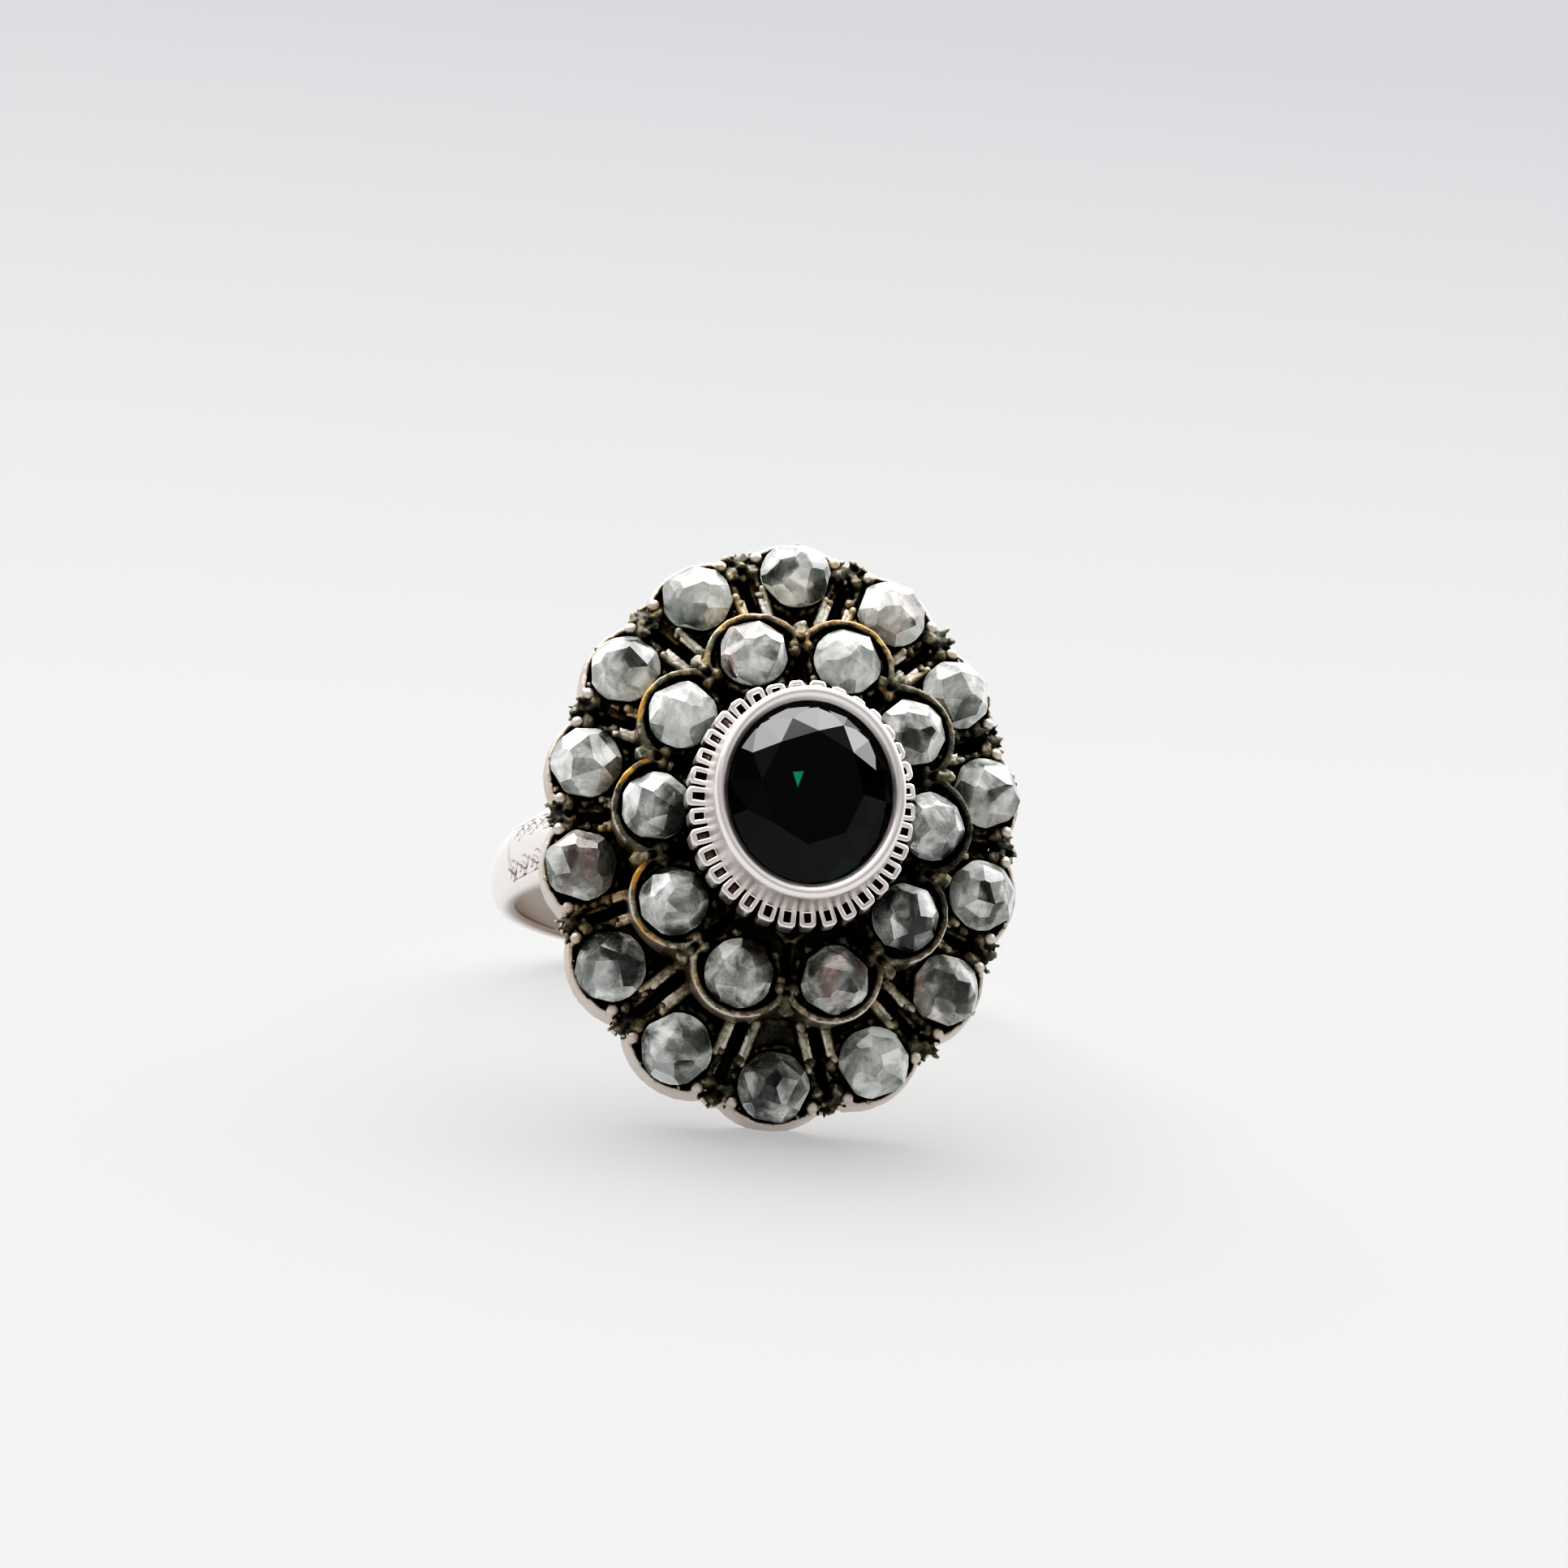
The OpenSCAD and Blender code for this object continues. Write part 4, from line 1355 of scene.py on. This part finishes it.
def cut_stone(name, seat, width, seed):
    """One stone on its seat, with a tone for each facet that is painted as light and shade, and a
    milkiness and tint of its own.
    """
    rng = random.Random(seed)
    radius = width / 2
    bm = bmesh.new()
    bmesh.ops.create_cone(
        bm, cap_ends=True, segments=GIRDLE_SIDES, radius1=radius, radius2=radius, depth=STONE_RISE
    )
    bmesh.ops.translate(bm, vec=(0, 0, STONE_RISE / 2), verts=bm.verts)
    for tilt, counts, out, up in FACET_RINGS:
        start = rng.uniform(0, 2 * math.pi)
        count = rng.randint(*counts)
        for i in range(count):
            lean = math.radians(tilt + rng.uniform(-TILT_OFF, TILT_OFF))
            turn = start + 2 * math.pi * (i + rng.uniform(-TURN_OFF, TURN_OFF)) / count
            side = Vector((math.cos(turn), math.sin(turn), 0))
            normal = side * math.sin(lean) + Vector((0, 0, math.cos(lean)))
            on_plane = side * radius * out + Vector((0, 0, up)) + normal * rng.uniform(-0.06, 0.02)
            geometry = bm.verts[:] + bm.edges[:] + bm.faces[:]
            cut = bmesh.ops.bisect_plane(
                bm, geom=geometry, plane_co=on_plane, plane_no=normal, clear_outer=True
            )
            rim = [e for e in cut["geom_cut"] if isinstance(e, bmesh.types.BMEdge)]
            if rim:
                bmesh.ops.contextual_create(bm, geom=rim)
    bmesh.ops.dissolve_degenerate(bm, dist=0.01, edges=bm.edges)
    bmesh.ops.recalc_face_normals(bm, faces=bm.faces)
    layers = {name: bm.faces.layers.float.new(name) for name in ("facet", "edge", "milk", "tint")}
    milk = rng.uniform(0, 1)
    tint = max(rng.uniform(-1, 1), 0)
    for face in bm.faces:
        # A random tone per facet, which the finish paints as light and shade
        face[layers["facet"]] = rng.uniform(0, 1)
        face[layers["edge"]] = 1.0 if face.normal.z < GIRDLE_NORMAL else 0.0
        face[layers["milk"]] = milk
        face[layers["tint"]] = tint
    bmesh.ops.transform(bm, matrix=seat, verts=bm.verts)
    mesh = bpy.data.meshes.new(name)
    bm.to_mesh(mesh)
    bm.free()
    return new_object(name, mesh)


def set_stones(tier, seats, width, first_seed):
    """A stone on every seat of a tier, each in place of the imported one."""
    for k, seat in enumerate(seats):
        stone = cut_stone(f"{tier}_rose_{k + 1:02d}", seat, width, first_seed + k)
        finish_piece(stone, clear_stone)
        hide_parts(f"{tier}_stone_{k + 1:02d}")


set_stones("outer", outer_seats, OUTER_STONE_WIDTH, first_seed=11)
set_stones("inner", inner_seats, INNER_STONE_WIDTH, first_seed=61)

# %% [markdown]
# ## Foil
#
# Old rose-cut stones sit in closed cups lined with foil. It throws the light back through the stone,
# and its wrinkles give the streaks and bright patches that show between the facets. The patches could
# be painted on the facets, but light that comes back through the stone shifts as the view turns.

# %% Foil
FOIL_SHARE = 0.86
FOIL_SIDES = 28
FOIL_DEPTH = 0.4
FOIL_BELOW = 0.24


def foil_cups(tier, seats, width):
    """A thick disc of foil under each stone of a tier, all in one piece."""
    radius = width / 2 * FOIL_SHARE
    bm = bmesh.new()
    for seat in seats:
        bmesh.ops.create_cone(
            bm, cap_ends=True, segments=FOIL_SIDES, radius1=radius, radius2=radius,
            depth=FOIL_DEPTH, matrix=seat @ Matrix.Translation((0, 0, -FOIL_BELOW)),
        )
    mesh = bpy.data.meshes.new(f"{tier}_foil")
    bm.to_mesh(mesh)
    bm.free()
    finish_piece(new_object(f"{tier}_foil", mesh), foil_finish)


foil_cups("outer", outer_seats, OUTER_STONE_WIDTH)
foil_cups("inner", inner_seats, INNER_STONE_WIDTH)

# %% [markdown]
# ## The centre stone
#
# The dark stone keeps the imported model's facets, because they already follow the real one's. It is set
# by hand and sits a touch higher in its bezel than the plan says, so a copy is raised by a tenth of a
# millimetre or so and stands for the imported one.

# %% Centre stone
STONE_RAISED = 0.14
centre = packed_copy("dark_oval", ["centre_stone"])
centre.data.transform(Matrix.Translation((0, 0, STONE_RAISED)))
finish_piece(centre, dark_stone)
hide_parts("centre_stone")
# The copy of the whole ring was there for the rays alone.
bpy.data.objects.remove(ring_whole)

# %% [markdown]
# ## The floor
#
# A pale floor fills the whole picture. It could be lit by the sky alone, but it would then be grey where
# the photograph's is nearly white. So a part of its light is its own glow, which still lets the ring's
# soft shadow show. Its colour and glow are a little darker far away, a painted shade, as in the
# photograph.

# %% Floor
FLOOR_HALF = 3.0
FLOOR_NEAR = (0.168, 0.168, 0.168)
FLOOR_FAR_SHADED = (0.128, 0.128, 0.134)
FLOOR_GLOW = 2.45
PAINTED_SHADE_FROM = 0.04
PAINTED_SHADE_TO = 0.27
floor_mesh = bpy.data.meshes.new("floor")
corners = [(-1, -1, 0), (1, -1, 0), (1, 1, 0), (-1, 1, 0)]
floor_mesh.from_pydata([tuple(FLOOR_HALF * c for c in p) for p in corners], [], [(0, 1, 2, 3)])
floor = new_object("floor", floor_mesh)
pale_floor = Finish("pale_floor")
(depth,) = pale_floor.split(pale_floor.place(), "Y")
# Painted shade: colour and glow grow a little darker towards the far side
painted_far_shade = step(depth, PAINTED_SHADE_FROM, PAINTED_SHADE_TO)
floor_colour_and_painted_shade = pale_floor.ramp(painted_far_shade, [(0, FLOOR_NEAR), (1, FLOOR_FAR_SHADED)])
pale_floor.set(
    Base_Color=floor_colour_and_painted_shade,
    Roughness=0.8,
    Specular_IOR_Level=0.0,
    Emission_Color=floor_colour_and_painted_shade,
    Emission_Strength=FLOOR_GLOW,
)
floor_mesh.materials.append(pale_floor.material)
print("floor, metres across:", 2 * FLOOR_HALF)

# %% [markdown]
# ## The light
#
# Jewellery is photographed in a white tent. Lamps could stand for it, but facets mirror their square
# shapes. Here the world itself is painted by direction: a faint sky, a soft light overhead, a bright
# horizon, some light from behind, and one strong lamp with a curved edge. The lamp covers just the
# directions that the lit crown facets of the centre stone mirror.

# %% Light
FAINT = 0.04
LAMP = 6.6
OVERHEAD = 0.75
HORIZON = 0.8
BEHIND = 0.35
world = bpy.data.worlds.new("studio")
bpy.context.scene.world = world
world.use_nodes = True
sky = Graph(world.node_tree)
x, y, z = sky.split(sky.add("ShaderNodeTexCoord", out="Generated"))
lamp_edge = 0.13 + 0.2 * x - 0.25 * x * x
lamp = step(z, 0.35, 0.5) * step(y - lamp_edge, -0.03, 0.03) * step(x, -0.74, -0.68)
overhead = step(z, 0.5, 0.75)
horizon = 1 - step(z, 0.2, 0.45)
behind = step(y, 0.1, 0.6)
glow = FAINT + lamp * LAMP + overhead * OVERHEAD + horizon * HORIZON + behind * BEHIND
background = world.node_tree.nodes["Background"]
world.node_tree.links.new(glow.socket, background.inputs["Color"])
print("nodes in the sky:", len(world.node_tree.nodes))

# %% [markdown]
# ## The view
#
# The photograph has deep blacks. Every material could be made darker, but their shine would go with it.
# The Standard view keeps colours as they are, and a curve on top of it deepens the dark tones alone.

# %% View
DARK_TONES = [(0.05, 0.008), (0.13, 0.065), (0.3, 0.285)]
ALL_CHANNELS = 3
view = bpy.context.scene.view_settings
view.view_transform = "Standard"
view.use_curve_mapping = True
for tone, shown in DARK_TONES:
    view.curve_mapping.curves[ALL_CHANNELS].points.new(tone, shown)
view.curve_mapping.update()
print("points on the tone curve:", len(view.curve_mapping.curves[ALL_CHANNELS].points))
